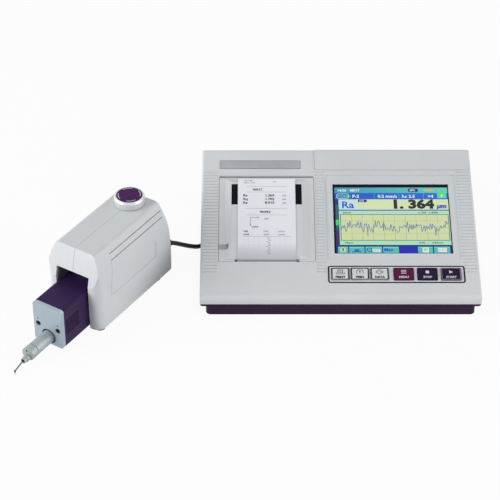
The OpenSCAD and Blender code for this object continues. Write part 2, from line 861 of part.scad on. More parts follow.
module support_plate() color(steel) on_unit() translate([0, 0, support_z]) difference() {
    translate([-post_x - guide_r - shelf_edge, shelf_y, 0])
        plate(2 * (post_x + guide_r + shelf_edge), shelf_end - shelf_y, plate_h, 3);
    translate([0, knob_y, -1]) cylinder(r = neck_r + run, h = far);
    for (s = [-1, 1]) translate([s * post_x, knob_y, -1]) cylinder(r = guide_r, h = far);
}

module guide_posts() color(steel) on_unit() for (s = [-1, 1]) translate([s * post_x, knob_y, post_foot])
    cylinder(r = guide_r, h = support_z + plate_h - post_foot);

// The knob is a knurled ring with a hollow top that the cap fills
cap_r = knob_r - 2.2;
cap_t = 1.6;
knurls = 60;
knurl_r = 0.35;
knurl_z = 1.2;
knurl_top = 2.8;
module height_knob() color(grey) on_unit() translate([0, knob_y, housing_h + gap]) difference() {
    union() {
        rotate_extrude() polygon([[0, 0], [knob_r - 0.8, 0], [knob_r, 0.8], [knob_r, knob_h - 2],
                                  [knob_r - 1, knob_h], [0, knob_h]]);
        translate([0, 0, -gap - housing_wall - plate_h])
            cylinder(r = neck_r, h = gap + housing_wall + plate_h);
    }
    translate([0, 0, knob_h - cap_t]) cylinder(r = cap_r, h = far);
    for (i = [0 : knurls - 1]) rotate([0, 0, i * 360 / knurls]) translate([knob_r, 0, knurl_z])
        cylinder(r = knurl_r, h = knob_h - knurl_z - knurl_top);
}

module knob_cap() color(purple) on_unit() translate([0, knob_y, housing_h + gap + knob_h - cap_t])
    rotate_extrude() polygon([[0, 0], [cap_r - hair, 0], [cap_r - hair, cap_t - 0.2], [cap_r - 1, cap_t + 0.3],
                              [0, cap_t + 0.3]]);

module height_screw() color(steel) on_unit() translate([0, knob_y, post_foot])
    cylinder(r = lead_r, h = support_z - post_foot);

// Carriage on the posts, with ears that hold the tilt pin

block_z = 40;
head_room = 8;
block_h = support_z - head_room - lift_range - block_z;
block_w = 38;
block_l = 11;
tilt_y = knob_y - block_l / 2 - 5;
tilt_z = 55;
tilt_r = 2;
ear_x = 9.3;
ear_t = 5;
ear_r = 5;
arm_reach = 30;
arm_x = 20;
arm_w = 5;
arm_h = drive_lift + drive_h - 2.6 - block_z;
module lift_carriage() color(metal) on_unit() difference() {
    union() {
        translate([-block_w / 2, knob_y - block_l / 2, block_z]) cube([block_w, block_l, block_h]);
        for (s = [-1, 1]) translate([s * (ear_x + ear_t / 2) - ear_t / 2, 0, 0]) {
            translate([0, tilt_y, tilt_z]) rod_x(ear_r, ear_t);
            translate([0, tilt_y, tilt_z - ear_r]) cube([ear_t, knob_y - tilt_y, 2 * ear_r]);
        }
        translate([arm_x - 3, knob_y - block_l / 2, block_z]) cube([arm_w + 3, block_l, arm_h]);
        translate([arm_x, tilt_y - arm_reach, block_z]) cube([arm_w, knob_y - tilt_y + arm_reach, arm_h]);
    }
    translate([0, knob_y, 0]) cylinder(r = lead_r + run, h = far);
    for (s = [-1, 1]) translate([s * post_x, knob_y, 0]) cylinder(r = guide_r + run, h = far);
    translate([-far / 2, tilt_y, tilt_z]) rod_x(tilt_r + slip / 10, far);
}

module tilt_pin() color(steel) on_unit() translate([-ear_x - ear_t, tilt_y, tilt_z])
    rod_x(tilt_r, 2 * (ear_x + ear_t));

drive_top = drive_lift + drive_h;
saddle_l = 62;
saddle_t = 5;
web_l = 8;
screw_y = tilt_y - 25;
module tilt_saddle() color(metal) on_unit() difference() {
    union() {
        translate([-ear_x + gap, tilt_y, tilt_z]) rod_x(4.6, 2 * (ear_x - gap));
        translate([-ear_x + gap, tilt_y - web_l, drive_top])
            cube([2 * (ear_x - gap), web_l, tilt_z - drive_top + tilt_r]);
        translate([-drive_w / 2 + 2, tilt_y - saddle_l - 6, drive_top])
            cube([drive_w - 4, saddle_l, saddle_t]);
        translate([0, screw_y - 4, drive_top]) cube([arm_x + arm_w, 8, saddle_t]);
    }
    translate([-far / 2, tilt_y, tilt_z]) rod_x(tilt_r + run, far);
    translate([arm_x + arm_w / 2, screw_y, 0]) cylinder(r = screw_r, h = far);
}

module tilt_screw() color(steel) on_unit() translate([arm_x + arm_w / 2, screw_y, block_z + arm_h + hair]) {
    cylinder(r = screw_r, h = drive_top + saddle_t + 2 - block_z - arm_h - hair);
    translate([0, 0, drive_top + saddle_t - block_z - arm_h - hair]) cylinder(r = 2.4, h = 3);
}

// Drive unit

face_y = -drive_out;
back_y = face_y + plate_t;
car_y = back_y + 13.6;
car_l = 18;
end_room = 18.4;
bulk_y = car_y + car_l + traverse_range + end_room;
bulk_t = 3;
edge_r = 2.5;
axis_z = drive_lift + 31;
rail_x = 9;
rail_r = 2;
feed_r = 2.5;
bolt_x = 11.6;
bolt_z = drive_lift + 20;
bolt_r = 1.25;
head_r = 2.6;
head_l = 1.6;
head_sunk = 1.2;
socket_key_r = 1.3;
boss_r = 3;
boss_l = 11;
bore_r = tube_r + 1.5;
tube_z = drive_lift + tube_h;

module drive_section(g) {
    translate([-drive_w / 2 + g, drive_lift + g]) round_rect(drive_w - 2 * g, drive_h - 2 * g, edge_r);
}

// An outline drawn in width and height, carried back from depth y
module back_from(y, l) {
    translate([0, y + l, 0]) rotate([90, 0, 0]) linear_extrude(l) children();
}

groove_n = 6;
groove_step = 3;
groove_w = 1.3;
groove_d = 0.8;
groove_l = 20;
groove_y = 2;
groove_z = drive_lift + 14.4;
module drive_case() color(purple) on_unit() difference() {
    union() {
        difference() {
            back_from(back_y, drive_l - plate_t) drive_section(0);
            back_from(back_y - 1, drive_l - plate_t - drive_wall + 1) drive_section(drive_wall);
        }
        back_from(bulk_y, bulk_t) drive_section(drive_wall / 2);
        for (s = [-1, 1]) translate([s * bolt_x, back_y, bolt_z]) {
            rod_y(boss_r, boss_l);
            translate([s > 0 ? 0 : bolt_x - drive_w / 2 + drive_wall / 2, 0, -boss_r])
                cube([drive_w / 2 - drive_wall / 2 - bolt_x, boss_l, 2 * boss_r]);
        }
    }
    for (s = [-1, 1]) translate([s * bolt_x, face_y, bolt_z]) rod_y(bolt_r + slip / 10, plate_t + 9);
    for (s = [-1, 1], i = [0 : groove_n - 1])
        translate([s * drive_w / 2 - groove_d, back_y + groove_y, groove_z + i * groove_step])
            cube([2 * groove_d, groove_l, groove_w]);
    translate([0, bulk_y - 1, axis_z]) rod_y(feed_r + run, bulk_t + 2);
    for (s = [-1, 1]) translate([s * rail_x, bulk_y - 1, axis_z]) rod_y(rail_r, bulk_t);
}

dot_up = 6.2;
dot_r = 0.8;
dot_l = 1.5;
module front_plate() color(metal) on_unit() difference() {
    back_from(face_y, plate_t) drive_section(0);
    translate([0, face_y - 1, tube_z]) rod_y(bore_r, plate_t + 2);
    for (s = [-1, 1]) {
        translate([s * bolt_x, face_y - 1, bolt_z]) rod_y(head_r + slip, 1 + head_l + head_sunk);
        translate([s * bolt_x, face_y - 1, bolt_z]) rod_y(bolt_r + slip / 10, plate_t + 2);
        translate([s * bolt_x, face_y - 1, bolt_z + dot_up]) rod_y(dot_r, 1 + dot_l);
    }
}

module plate_screws() color(dark) on_unit()
    for (s = [-1, 1]) translate([s * bolt_x, face_y + head_sunk, bolt_z]) difference() {
        union() {
            rod_y(head_r, head_l);
            rod_y(bolt_r, plate_t + 6.6);
        }
        translate([0, -1, 0]) rotate([-90, 0, 0]) cylinder(r = socket_key_r, h = 2, $fn = 6);
    }

module guide_rods() color(steel) on_unit()
    for (s = [-1, 1]) translate([s * rail_x, back_y, axis_z]) rod_y(rail_r, bulk_y + bulk_t - 1 - back_y);

drive_motor_r = 10;
drive_motor_l = 30;
feed_seat = 4;
module traverse_screw() color(steel) on_unit() translate([0, back_y + gap, axis_z])
    rod_y(feed_r, bulk_y + bulk_t + feed_seat - back_y - gap);

module traverse_motor() color(dark) on_unit() translate([0, bulk_y + bulk_t, axis_z]) difference() {
    rod_y(drive_motor_r, drive_motor_l);
    translate([0, -1, 0]) rod_y(feed_r + run, feed_seat + 2);
}

// The carriage runs on the rods and holds the detector tube

tube_seat = 14;
car_w = 26;
car_below = 3;
car_above = 5;
module traverse_carriage() color(metal) on_unit() difference() {
    translate([-car_w / 2, car_y, tube_z - car_below])
        cube([car_w, car_l, axis_z + car_above - tube_z + car_below]);
    translate([0, car_y - 1, tube_z]) rod_y(tube_r, tube_seat + 1);
    translate([0, car_y - 1, axis_z]) rod_y(feed_r + run, car_l + 2);
    for (s = [-1, 1]) translate([s * rail_x, car_y - 1, axis_z]) rod_y(rail_r + run, car_l + 2);
}

// Detector and stylus

tube_end = face_y - tube_out;
collar_l = 8;
nose_z = tube_z - nose_drop;
nose_r = 3.4;
nose_bore = 2;
pivot_y = tube_end + 6;
pivot_r = 0.6;
module detector_tube() color(metal) on_unit() difference() {
    union() {
        translate([0, tube_end + collar_l, tube_z]) rod_y(tube_r, car_y + tube_seat - tube_end - collar_l);
        translate([0, tube_end, tube_z]) rod_y(tube_r + 0.2, collar_l - 0.8);
        translate([0, tube_end + 1, tube_z]) rod_y(tube_r - 0.4, collar_l);
        translate([0, tube_end - nose_l * 0.55, nose_z]) rod_y(nose_r, nose_l * 0.55 + 1);
        translate([0, tube_end - nose_l, nose_z]) rod_y(nose_r - 0.7, nose_l);
    }
    translate([0, tube_end - nose_l - 1, nose_z]) rod_y(nose_bore, nose_l + 13);
    translate([-far / 2, pivot_y, nose_z]) rod_x(pivot_r + 0.01, far);
    translate([-1.4, tube_end - 1, tube_z + 3]) rod_y(1.2, 5);
}

module stylus_pin() color(steel) on_unit() translate([-5.5, pivot_y, nose_z]) rod_x(pivot_r, 11);

tip_drop = 3.4;
tip_clear = 0.5;
neck_y = tube_end - nose_l - 1;
module stylus_arm() color(metal) on_unit() difference() {
    run_l = neck_y - stylus_y;
    union() {
        translate([0, neck_y, nose_z]) rod_y(arm_r, pivot_y - neck_y + 3);
        translate([-1.3, pivot_y, nose_z]) rod_x(1.3, 2.6);
        translate([0, neck_y, nose_z]) sphere(arm_r);
        translate([0, stylus_y, nose_z - tip_drop]) rotate([-90 + atan2(tip_drop, run_l), 0, 0])
            cylinder(r = arm_r * 0.8, h = norm([tip_drop, run_l]));
        translate([0, stylus_y, nose_z - tip_drop - 0.9]) cylinder(r = arm_r, h = 1.8);
    }
    translate([-far / 2, pivot_y, nose_z]) rod_x(pivot_r + run, far);
}

module stylus_tip() color(dark) on_unit() translate([0, stylus_y, tip_clear])
    cylinder(r1 = 0.1, r2 = 0.6, h = nose_z - tip_drop - 0.9 - tip_clear);

// Cord between the two units

cord_r = 2.3;
cord_sides = 10;
plug_r = 5.6;
plug_l = 20;
coil_mid = [58, 234];
coil_r = 33;
gland_l = 15;
cord_route = [[-31.4, 92.2, 21.6], [-26, 93.4, 20], [-20, 94.9, 17.3], [-11, 98, 12.9], [-3.4, 104.6, 7.6],
              [1.2, 114, 3.8], [2.6, 125, 2.4], [2.6, 140, 2.4], [2.6, 156, 2.4], [2.6, 171.8, 2.4],
              [4.5, 182, 2.4], [10.4, 190.8, 2.4], [19, 196.6, 2.4], [29.4, 198.6, 2.4], [44, 198.6, 2.4]];
tail_route = [[20, 212, 25], [20, 220, 24.2], [20, 229, 20], [20.8, 239, 14.2], [23.8, 248.5, 9.4],
              [30.9, 256.8, 7.2]];

function unit(v) = v / norm(v);
function heading(p, i) = unit(p[min(i + 1, len(p) - 1)] - p[max(i - 1, 0)]);
function ring(p, i, r, n) = let (d = heading(p, i), s = unit(cross(d, [0, 0, 1])), u = cross(s, d))
    [for (k = [0 : n - 1]) p[i] + r * (cos(360 * k / n) * s + sin(360 * k / n) * u)];

// A round cord swept along its route
module cord_tube(p, r, n) {
    last = len(p) - 1;
    polyhedron(
        points = [for (i = [0 : last]) each ring(p, i, r, n)],
        faces = concat(
            [[for (k = [0 : n - 1]) k]],
            [for (i = [0 : last - 1], k = [0 : n - 1])
                each [[i * n + k, (i + 1) * n + k, (i + 1) * n + (k + 1) % n],
                      [i * n + k, (i + 1) * n + (k + 1) % n, i * n + (k + 1) % n]]],
            [[for (k = [n - 1 : -1 : 0]) last * n + k]]));
}

module cord_gland() color(dark) on_unit() translate([gland_x, 0, gland_z]) {
    translate([0, gland_y - housing_wall - 2, 0]) rod_y(gland_r, housing_wall + 5);
    translate([0, gland_y - 1, 0]) rotate([0, 0, -gland_bend]) rotate([-90 - gland_dip, 0, 0])
        cylinder(r1 = 4.8, r2 = cord_r + 0.8, h = gland_l + 4);
}

module drive_cord() color(dark) on_display() {
    cord_tube(cord_route, cord_r, cord_sides);
    cord_tube(tail_route, cord_r, cord_sides);
}

module cord_coil() color(dark) on_display() translate([coil_mid[0], coil_mid[1], 0]) rotate_extrude()
    translate([coil_r - 2 * cord_r, 0]) square([4 * cord_r, 4 * cord_r]);

module cord_plug() color(dark) rear_wall(-socket_l + 3) translate([socket_x, 0, socket_z]) {
    rod_y(plug_r, plug_l);
    translate([0, socket_l + 1, 0]) rod_y(plug_r + 1.6, plug_l - socket_l);
    translate([0, plug_l, 0]) rotate([-90, 0, 0]) cylinder(r1 = plug_r, r2 = cord_r + 0.6, h = 12);
}

// Draw the pieces asked for

top_case();
bottom_case();
rubber_feet();
case_screws();
battery_cover();
battery_pack();
nameplate();
lcd_panel();
touch_glass();
main_board();
key_panel();
key_board();
print_key();
feed_key();
data_key();
menu_key();
stop_key();
start_key();
printer_frame();
printer_cover();
printer_window();
hinge_pin();
release_tab();
print_head();
platen_roller();
feed_motor();
tear_bar();
paper_roll();
paper_strip();
rear_panel();
drive_socket();
power_inlet();
data_ports();
housing_left();
housing_right();
housing_feet();
support_plate();
guide_posts();
height_knob();
knob_cap();
height_screw();
lift_carriage();
tilt_pin();
tilt_saddle();
tilt_screw();
drive_case();
front_plate();
plate_screws();
guide_rods();
traverse_screw();
traverse_motor();
traverse_carriage();
detector_tube();
stylus_pin();
stylus_arm();
stylus_tip();
cord_gland();
drive_cord();
cord_coil();
cord_plug();
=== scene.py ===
# %% [markdown]
# A surface roughness tester, dressed in Blender. The solid model comes in as a fixed frame, in metres, and every
# piece made here is worked out as arrays of points and put on top of it.

# %% Load the frame
import json
import math

import bpy
import numpy as np
from mathutils import Matrix, Vector


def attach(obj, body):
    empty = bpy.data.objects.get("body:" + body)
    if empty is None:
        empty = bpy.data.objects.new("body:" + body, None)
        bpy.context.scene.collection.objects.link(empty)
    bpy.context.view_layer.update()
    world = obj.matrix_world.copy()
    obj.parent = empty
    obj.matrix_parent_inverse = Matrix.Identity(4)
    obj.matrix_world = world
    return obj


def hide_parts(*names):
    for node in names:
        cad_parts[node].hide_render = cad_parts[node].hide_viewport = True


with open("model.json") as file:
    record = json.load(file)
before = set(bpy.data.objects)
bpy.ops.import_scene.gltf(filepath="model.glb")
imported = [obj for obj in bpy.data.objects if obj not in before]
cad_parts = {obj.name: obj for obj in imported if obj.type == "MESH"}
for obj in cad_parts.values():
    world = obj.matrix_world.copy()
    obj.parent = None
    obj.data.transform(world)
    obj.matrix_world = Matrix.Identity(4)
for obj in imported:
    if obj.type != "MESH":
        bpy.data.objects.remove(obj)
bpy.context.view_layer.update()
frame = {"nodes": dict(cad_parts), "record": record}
nodes = frame["nodes"]
MM = 0.001

# %% [markdown]
# Both units have frames of their own. The display unit's deck slopes, so places on it are given as x across the
# deck, t up the slope and n out of it. The height unit is turned, so its places are given along its own sides.
# Two matrices carry those places into the frame.

# %% Frames of the two units
DISPLAY = Vector((-51.05102, -50.22560, 0.0))
FRONT_H, SLOPE = 23.3, math.radians(15.2)
UNIT, TURN = Vector((-121.7, -9.9, 0.0)), math.radians(-32.9)
SCALE = Matrix.Scale(MM, 4)
deck_frame = SCALE @ Matrix.Translation(DISPLAY + Vector((0, 0, FRONT_H))) @ Matrix.Rotation(SLOPE, 4, "X")
display_frame = SCALE @ Matrix.Translation(DISPLAY)
unit_frame = SCALE @ Matrix.Translation(DISPLAY + UNIT) @ Matrix.Rotation(TURN, 4, "Z")


def placed(points, matrix):
    """Points (n, 3) in millimetres, carried by a matrix: each is turned, then shifted."""
    m = np.array(matrix)
    return np.asarray(points, float) @ m[:3, :3].T + m[:3, 3]


print("deck corner", placed([[0, 0, 0]], deck_frame).round(4).tolist())

# %% [markdown]
# The camera stands where the photographer stood: well back, above the set, looking down with a long lens.
# Its place, its pitch and its focal length were fitted to the corners of the case, the screen and the keys.

# %% Camera
CAMERA_AT = DISPLAY + Vector((49.12, -1473.81, 1185.99))
PITCH = math.radians(36.85)
FOCAL_PIXELS, FRAME_PIXELS, SENSOR = 1932.24, 500, 36.0
lens = bpy.data.cameras.new("camera")
lens.sensor_width = SENSOR
lens.sensor_fit = "HORIZONTAL"
lens.lens = SENSOR * FOCAL_PIXELS / FRAME_PIXELS
lens.clip_end = 20
camera = bpy.data.objects.new("camera", lens)
camera.location = CAMERA_AT * MM
camera.rotation_euler = (math.pi / 2 - PITCH, 0, 0)
bpy.context.scene.collection.objects.link(camera)
bpy.context.scene.camera = camera
print("lens", round(lens.lens, 2), "mm")

# %% [markdown]
# Most surfaces here are grids of points, worked out as arrays and handed to Blender in one go. The faces of a grid
# follow from its rows and columns alone, so one helper makes them for every such surface, and another fills the mesh.
# Colours are shown as they are written, so the view transform is the plain one.

# %% Meshes from arrays
scene = bpy.context.scene
scene.view_settings.view_transform = "Standard"


def grid_mesh(name, points, columns, closed_u=False, closed_v=False, flip=False):
    """A surface on a grid: points run row by row, and each cell between four neighbours is one face.

    A closed direction joins its last line to its first.
    """
    points = np.asarray(points, float).reshape(-1, 3)
    rows = len(points) // columns
    i = np.arange(rows if closed_v else rows - 1)[:, None]
    j = np.arange(columns if closed_u else columns - 1)[None, :]
    i2, j2 = (i + 1) % rows, (j + 1) % columns
    quads = np.stack([i * columns + j, i * columns + j2, i2 * columns + j2, i2 * columns + j], -1).reshape(-1, 4)
    return faces_mesh(name, points, quads[:, ::-1] if flip else quads)


def faces_mesh(name, points, faces):
    """A mesh from points and faces that all have the same number of corners."""
    faces = np.asarray(faces, np.int32)
    mesh = bpy.data.meshes.new(name)
    mesh.vertices.add(len(points))
    mesh.vertices.foreach_set("co", np.asarray(points, np.float32).ravel())
    mesh.loops.add(faces.size)
    mesh.loops.foreach_set("vertex_index", faces.ravel())
    mesh.polygons.add(len(faces))
    mesh.polygons.foreach_set("loop_start", np.arange(len(faces), dtype=np.int32) * faces.shape[1])
    mesh.update(calc_edges=True)
    mesh.validate()
    return mesh


def shown(mesh, *materials):
    """An object at the origin that shows a mesh in these materials."""
    obj = bpy.data.objects.new(mesh.name, mesh)
    for material in materials:
        mesh.materials.append(material)
    scene.collection.objects.link(obj)
    return obj


def shader(name):
    """A new node material, with its tree and its main shader."""
    material = bpy.data.materials.new(name)
    material.use_nodes = True
    return material, material.node_tree, material.node_tree.nodes["Principled BSDF"]


print("view transform", scene.view_settings.view_transform)

# %% [markdown]
# The studio is a white sheet and three soft lamps. The sheet looks plain white to the camera and in reflections,
# and is lit like any other surface elsewhere, so that the set still gets light back from the table and keeps
# a soft shadow close to its feet.

# %% Floor
FLOOR_HALF, FLOOR_DROP = 4.0, 0.0002
sheet_xy = np.array([[-1, -1], [1, -1], [-1, 1], [1, 1]]) * FLOOR_HALF
floor = shown(grid_mesh("floor", np.c_[sheet_xy, np.full(4, -FLOOR_DROP)], 2))
print("floor", FLOOR_HALF * 2, "m")

# %% [markdown]
# The sheet's material mixes a lit white surface with a plain white glow, and the glow counts only for rays from
# the camera, from reflections and through glass. What is left of the lit surface holds the shadow.

# %% White sheet
FLOOR_GLOW, SHEET_ROUGH = 0.93, 0.9
SHEET_TONE, WHITE = (0.86, 0.86, 0.87, 1), (1, 1, 1, 1)


def seen_directly(tree):
    """A value of 1 for rays from the camera, from gloss or through glass, and 0 for the rest."""
    path = tree.nodes.new("ShaderNodeLightPath")
    first = tree.nodes.new("ShaderNodeMath")
    first.operation = "MAXIMUM"
    tree.links.new(path.outputs["Is Camera Ray"], first.inputs[0])
    tree.links.new(path.outputs["Is Glossy Ray"], first.inputs[1])
    both = tree.nodes.new("ShaderNodeMath")
    both.operation = "MAXIMUM"
    tree.links.new(first.outputs[0], both.inputs[0])
    tree.links.new(path.outputs["Is Transmission Ray"], both.inputs[1])
    return both.outputs[0]


sheet_white, tree, lit = shader("white_sheet")
lit.inputs["Base Color"].default_value = SHEET_TONE
lit.inputs["Roughness"].default_value = SHEET_ROUGH
lit.inputs["Specular IOR Level"].default_value = 0.0
glow = tree.nodes.new("ShaderNodeEmission")
glow.inputs["Color"].default_value = WHITE
share = tree.nodes.new("ShaderNodeMath")
share.operation = "MULTIPLY"
tree.links.new(seen_directly(tree), share.inputs[0])
share.inputs[1].default_value = FLOOR_GLOW
blend = tree.nodes.new("ShaderNodeMixShader")
tree.links.new(share.outputs[0], blend.inputs[0])
tree.links.new(lit.outputs[0], blend.inputs[1])
tree.links.new(glow.outputs[0], blend.inputs[2])
tree.links.new(blend.outputs[0], tree.nodes["Material Output"].inputs["Surface"])
floor.data.materials.append(sheet_white)
print("sheet glow", FLOOR_GLOW)

# %% [markdown]
# The world is white where it is seen, as the sheet is, and lights the set softly and evenly from all sides.

# %% World
AMBIENT, SKY_TONE = 0.36, (0.96, 0.98, 1.0, 1)
world = bpy.data.worlds.new("studio")
world.use_nodes = True
scene.world = world
tree = world.node_tree
ambient = tree.nodes["Background"]
ambient.inputs["Color"].default_value = SKY_TONE
ambient.inputs["Strength"].default_value = AMBIENT
white = tree.nodes.new("ShaderNodeBackground")
white.inputs["Color"].default_value = WHITE
pick = tree.nodes.new("ShaderNodeMixShader")
tree.links.new(seen_directly(tree), pick.inputs[0])
tree.links.new(ambient.outputs[0], pick.inputs[1])
tree.links.new(white.outputs[0], pick.inputs[2])
tree.links.new(pick.outputs[0], tree.nodes["World Output"].inputs["Surface"])
print("ambient", AMBIENT)

# %% [markdown]
# The main lamp stands low on the left and a weaker one on the right, so that faces turned to the left are the
# brightest. The third hangs high at the rear and is faint. All are large, which keeps the shadows soft.

# %% Lamps
LAMP_AIM = (0, 0, 0.05)
LAMPS = {"key_lamp": ((-2.1, -0.5, 0.88), 1.8, 48), "fill_lamp": ((1.9, -0.7, 0.75), 1.6, 25),
         "top_lamp": ((0.1, 0.9, 1.9), 1.2, 2)}


def soft_lamp(name, at, size, watts):
    """A square area lamp that looks from its place at the middle of the set."""
    lamp = bpy.data.lights.new(name, "AREA")
    lamp.size, lamp.energy = size, watts
    obj = bpy.data.objects.new(name, lamp)
    obj.location = at
    obj.rotation_euler = (Vector(LAMP_AIM) - Vector(at)).to_track_quat("-Z", "Y").to_euler()
    scene.collection.objects.link(obj)


for name, (at, size, watts) in LAMPS.items():
    soft_lamp(name, at, size, watts)
print("lamps", list(LAMPS))

# %% [markdown]
# Finishes are written as colours from 0 to 255 and as noises on the object's own coordinates, in metres, so a grain has
# the same size on every piece. A noise lies mostly in the middle of its range, which is what the helpers spread out.

# %% Colour and noise helpers
NOISE_LOW, NOISE_HIGH = 0.3, 0.7


def linear(*rgb):
    """A colour written as it shows on a screen, 0 to 255, made linear."""
    c = np.array(rgb, float) / 255
    return (*np.where(c <= 0.04045, c / 12.92, ((c + 0.055) / 1.055) ** 2.4).tolist(), 1.0)


def noise(tree, scale, detail=2.0, stretch=None, turn=0.0):
    """A noise on the object's own coordinates.

    Stretch makes it longer along an axis, and turn turns it about the upright.
    """
    place = tree.nodes.new("ShaderNodeTexCoord").outputs["Object"]
    if stretch:
        mapping = tree.nodes.new("ShaderNodeMapping")
        mapping.inputs["Scale"].default_value = stretch
        mapping.inputs["Rotation"].default_value = (0, 0, turn)
        tree.links.new(place, mapping.inputs["Vector"])
        place = mapping.outputs["Vector"]
    texture = tree.nodes.new("ShaderNodeTexNoise")
    texture.inputs["Scale"].default_value = scale
    texture.inputs["Detail"].default_value = detail
    tree.links.new(place, texture.inputs["Vector"])
    return texture.outputs["Fac"]


def between(tree, value, low, high, socket):
    """A noise value, which lies mostly in the middle of its range, carried to a range on a socket."""
    span = tree.nodes.new("ShaderNodeMapRange")
    for name, number in (("From Min", NOISE_LOW), ("From Max", NOISE_HIGH), ("To Min", low), ("To Max", high)):
        span.inputs[name].default_value = number
    tree.links.new(value, span.inputs["Value"])
    tree.links.new(span.outputs["Result"], socket)


def two_tone(tree, value, dark, pale, socket):
    """A colour that drifts between two tones with a noise value."""
    ramp = tree.nodes.new("ShaderNodeValToRGB")
    for stop, at, tone in zip(ramp.color_ramp.elements, (NOISE_LOW, NOISE_HIGH), (dark, pale)):
        stop.position, stop.color = at, tone
    tree.links.new(value, ramp.inputs["Fac"])
    tree.links.new(ramp.outputs["Color"], socket)


print("a mid grey is", round(linear(128, 128, 128)[0], 3), "linear")

# %% [markdown]
# Most of the set is moulded plastic. A moulded skin isn't smooth: the tool is spark-eroded, so it has a fine even
# grain, and its colour and gloss drift a little over a hand's width. One helper makes such a finish from two noises,
# a coarse one for the drift and a fine one for the grain.

# %% Finish helper


def grain(tree, surface, value, depth, strength):
    """A bump of a depth in metres from a noise value."""
    bump = tree.nodes.new("ShaderNodeBump")
    bump.inputs["Distance"].default_value = depth
    bump.inputs["Strength"].default_value = strength
    tree.links.new(value, bump.inputs["Height"])
    tree.links.new(bump.outputs["Normal"], surface.inputs["Normal"])


def finish(name, dark, pale, rough, drift=14.0, fine=2600.0, depth=3e-5, strength=0.35, metal=0.0,
           stretch=None, turn=0.0, coat=0.0, gloss=0.5):
    """A finish with drifting colour, drifting gloss and a fine grain."""
    material, tree, surface = shader(name)
    two_tone(tree, noise(tree, drift, 3.0), linear(*dark), linear(*pale), surface.inputs["Base Color"])
    fine_noise = noise(tree, fine, 2.0, stretch, turn)
    between(tree, fine_noise, rough[0], rough[1], surface.inputs["Roughness"])
    grain(tree, surface, fine_noise, depth, strength)
    surface.inputs["Metallic"].default_value = metal
    surface.inputs["Coat Weight"].default_value = coat
    surface.inputs["Specular IOR Level"].default_value = gloss
    return material


print("finish helper ready")

# %% [markdown]
# The cases and keys are moulded in their own colours, so nothing is painted. The dark plastics get little gloss,
# because a white studio would else wash them out. The window and the glass are smooth, and the rubber and the paper
# are rough.

# %% Finishes: plastics, rubber and paper
finishes = {
    "case_grey": finish("case_grey", (206, 209, 212), (213, 215, 217), (0.42, 0.58)),
    "light_key": finish("light_key", (207, 210, 214), (214, 216, 219), (0.35, 0.45), strength=0.2),
    "maroon_key": finish("maroon_key", (74, 8, 53), (82, 11, 59), (0.4, 0.5), strength=0.2, gloss=0.15),
    "purple_plastic": finish("purple_plastic", (45, 26, 67), (52, 31, 75), (0.4, 0.55), gloss=0.12),
    "black_rubber": finish("black_rubber", (24, 24, 26), (34, 34, 36), (0.7, 0.85), fine=1800.0, strength=0.5),
    "dark_plastic": finish("dark_plastic", (28, 28, 31), (37, 37, 40), (0.45, 0.6)),
    "tab_grey": finish("tab_grey", (166, 171, 173), (176, 180, 182), (0.4, 0.55)),
    "smoked_window": finish("smoked_window", (7, 8, 11), (13, 14, 18), (0.2, 0.28), fine=300.0, strength=0.02,
                            gloss=0.05),
    "screen_glass": finish("screen_glass", (8, 10, 26), (12, 15, 36), (0.12, 0.18), fine=200.0, strength=0.02,
                           gloss=0.06),
    "circuit_board": finish("circuit_board", (16, 74, 44), (24, 92, 56), (0.3, 0.45), fine=700.0),
    "paper": finish("paper", (233, 234, 241), (241, 241, 246), (0.55, 0.7), fine=1400.0, strength=0.2),
    "black_cord": finish("black_cord", (20, 20, 23), (29, 29, 32), (0.42, 0.55), fine=900.0, strength=0.25),
    "stylus_tip": finish("stylus_tip", (36, 36, 42), (54, 54, 60), (0.08, 0.15), fine=4000.0, strength=0.1, coat=0.8),
}
print("plastics", len(finishes))

# %% [markdown]
# The metals are turned, ground or rolled. Their marks run one way, so the fine noise is stretched along the marks:
# across the front plate, round about even on the small turned parts, and along the name strip.

# %% Finishes: metals
finishes["aluminium"] = finish("aluminium", (176, 183, 190), (196, 201, 207), (0.3, 0.44), drift=40.0, fine=1600.0,
                               depth=1e-5, strength=0.3, metal=0.9, stretch=(0.12, 1, 1), turn=-TURN)
finishes["steel"] = finish("steel", (150, 153, 158), (176, 178, 182), (0.22, 0.36), drift=60.0, fine=2400.0,
                           depth=1e-5, strength=0.25, metal=1.0)
print("finishes", len(finishes))

# %% [markdown]
# The paper strip comes off a roll and curls out of the slot at its front end. It greys towards that slot, where it
# bends out of the light, so its colour is scaled along the deck.

# %% Paper of the strip
STRIP_SHADE = {"From Min": -0.006, "From Max": 0.012, "To Min": 0.62, "To Max": 1.0}


def shaded_paper():
    """Paper whose colour is scaled by a value that grows along the strip, from the slot to the lit part."""
    material = finish("strip_paper", (233, 234, 241), (241, 241, 246), (0.55, 0.7), fine=1400.0, strength=0.2)
    tree = material.node_tree
    base = tree.nodes["Principled BSDF"].inputs["Base Color"]
    place = tree.nodes.new("ShaderNodeSeparateXYZ")
    tree.links.new(tree.nodes.new("ShaderNodeTexCoord").outputs["Object"], place.inputs[0])
    along = tree.nodes.new("ShaderNodeMapRange")
    for name, number in STRIP_SHADE.items():
        along.inputs[name].default_value = number
    tree.links.new(place.outputs["Y"], along.inputs["Value"])
    scaled = tree.nodes.new("ShaderNodeVectorMath")
    scaled.operation = "SCALE"
    tree.links.new(base.links[0].from_socket, scaled.inputs["Vector"])
    tree.links.new(along.outputs["Result"], scaled.inputs["Scale"])
    tree.links.new(scaled.outputs["Vector"], base)
    return material


strip_paper = shaded_paper()
print("strip shade", STRIP_SHADE["To Min"], "to", STRIP_SHADE["To Max"])

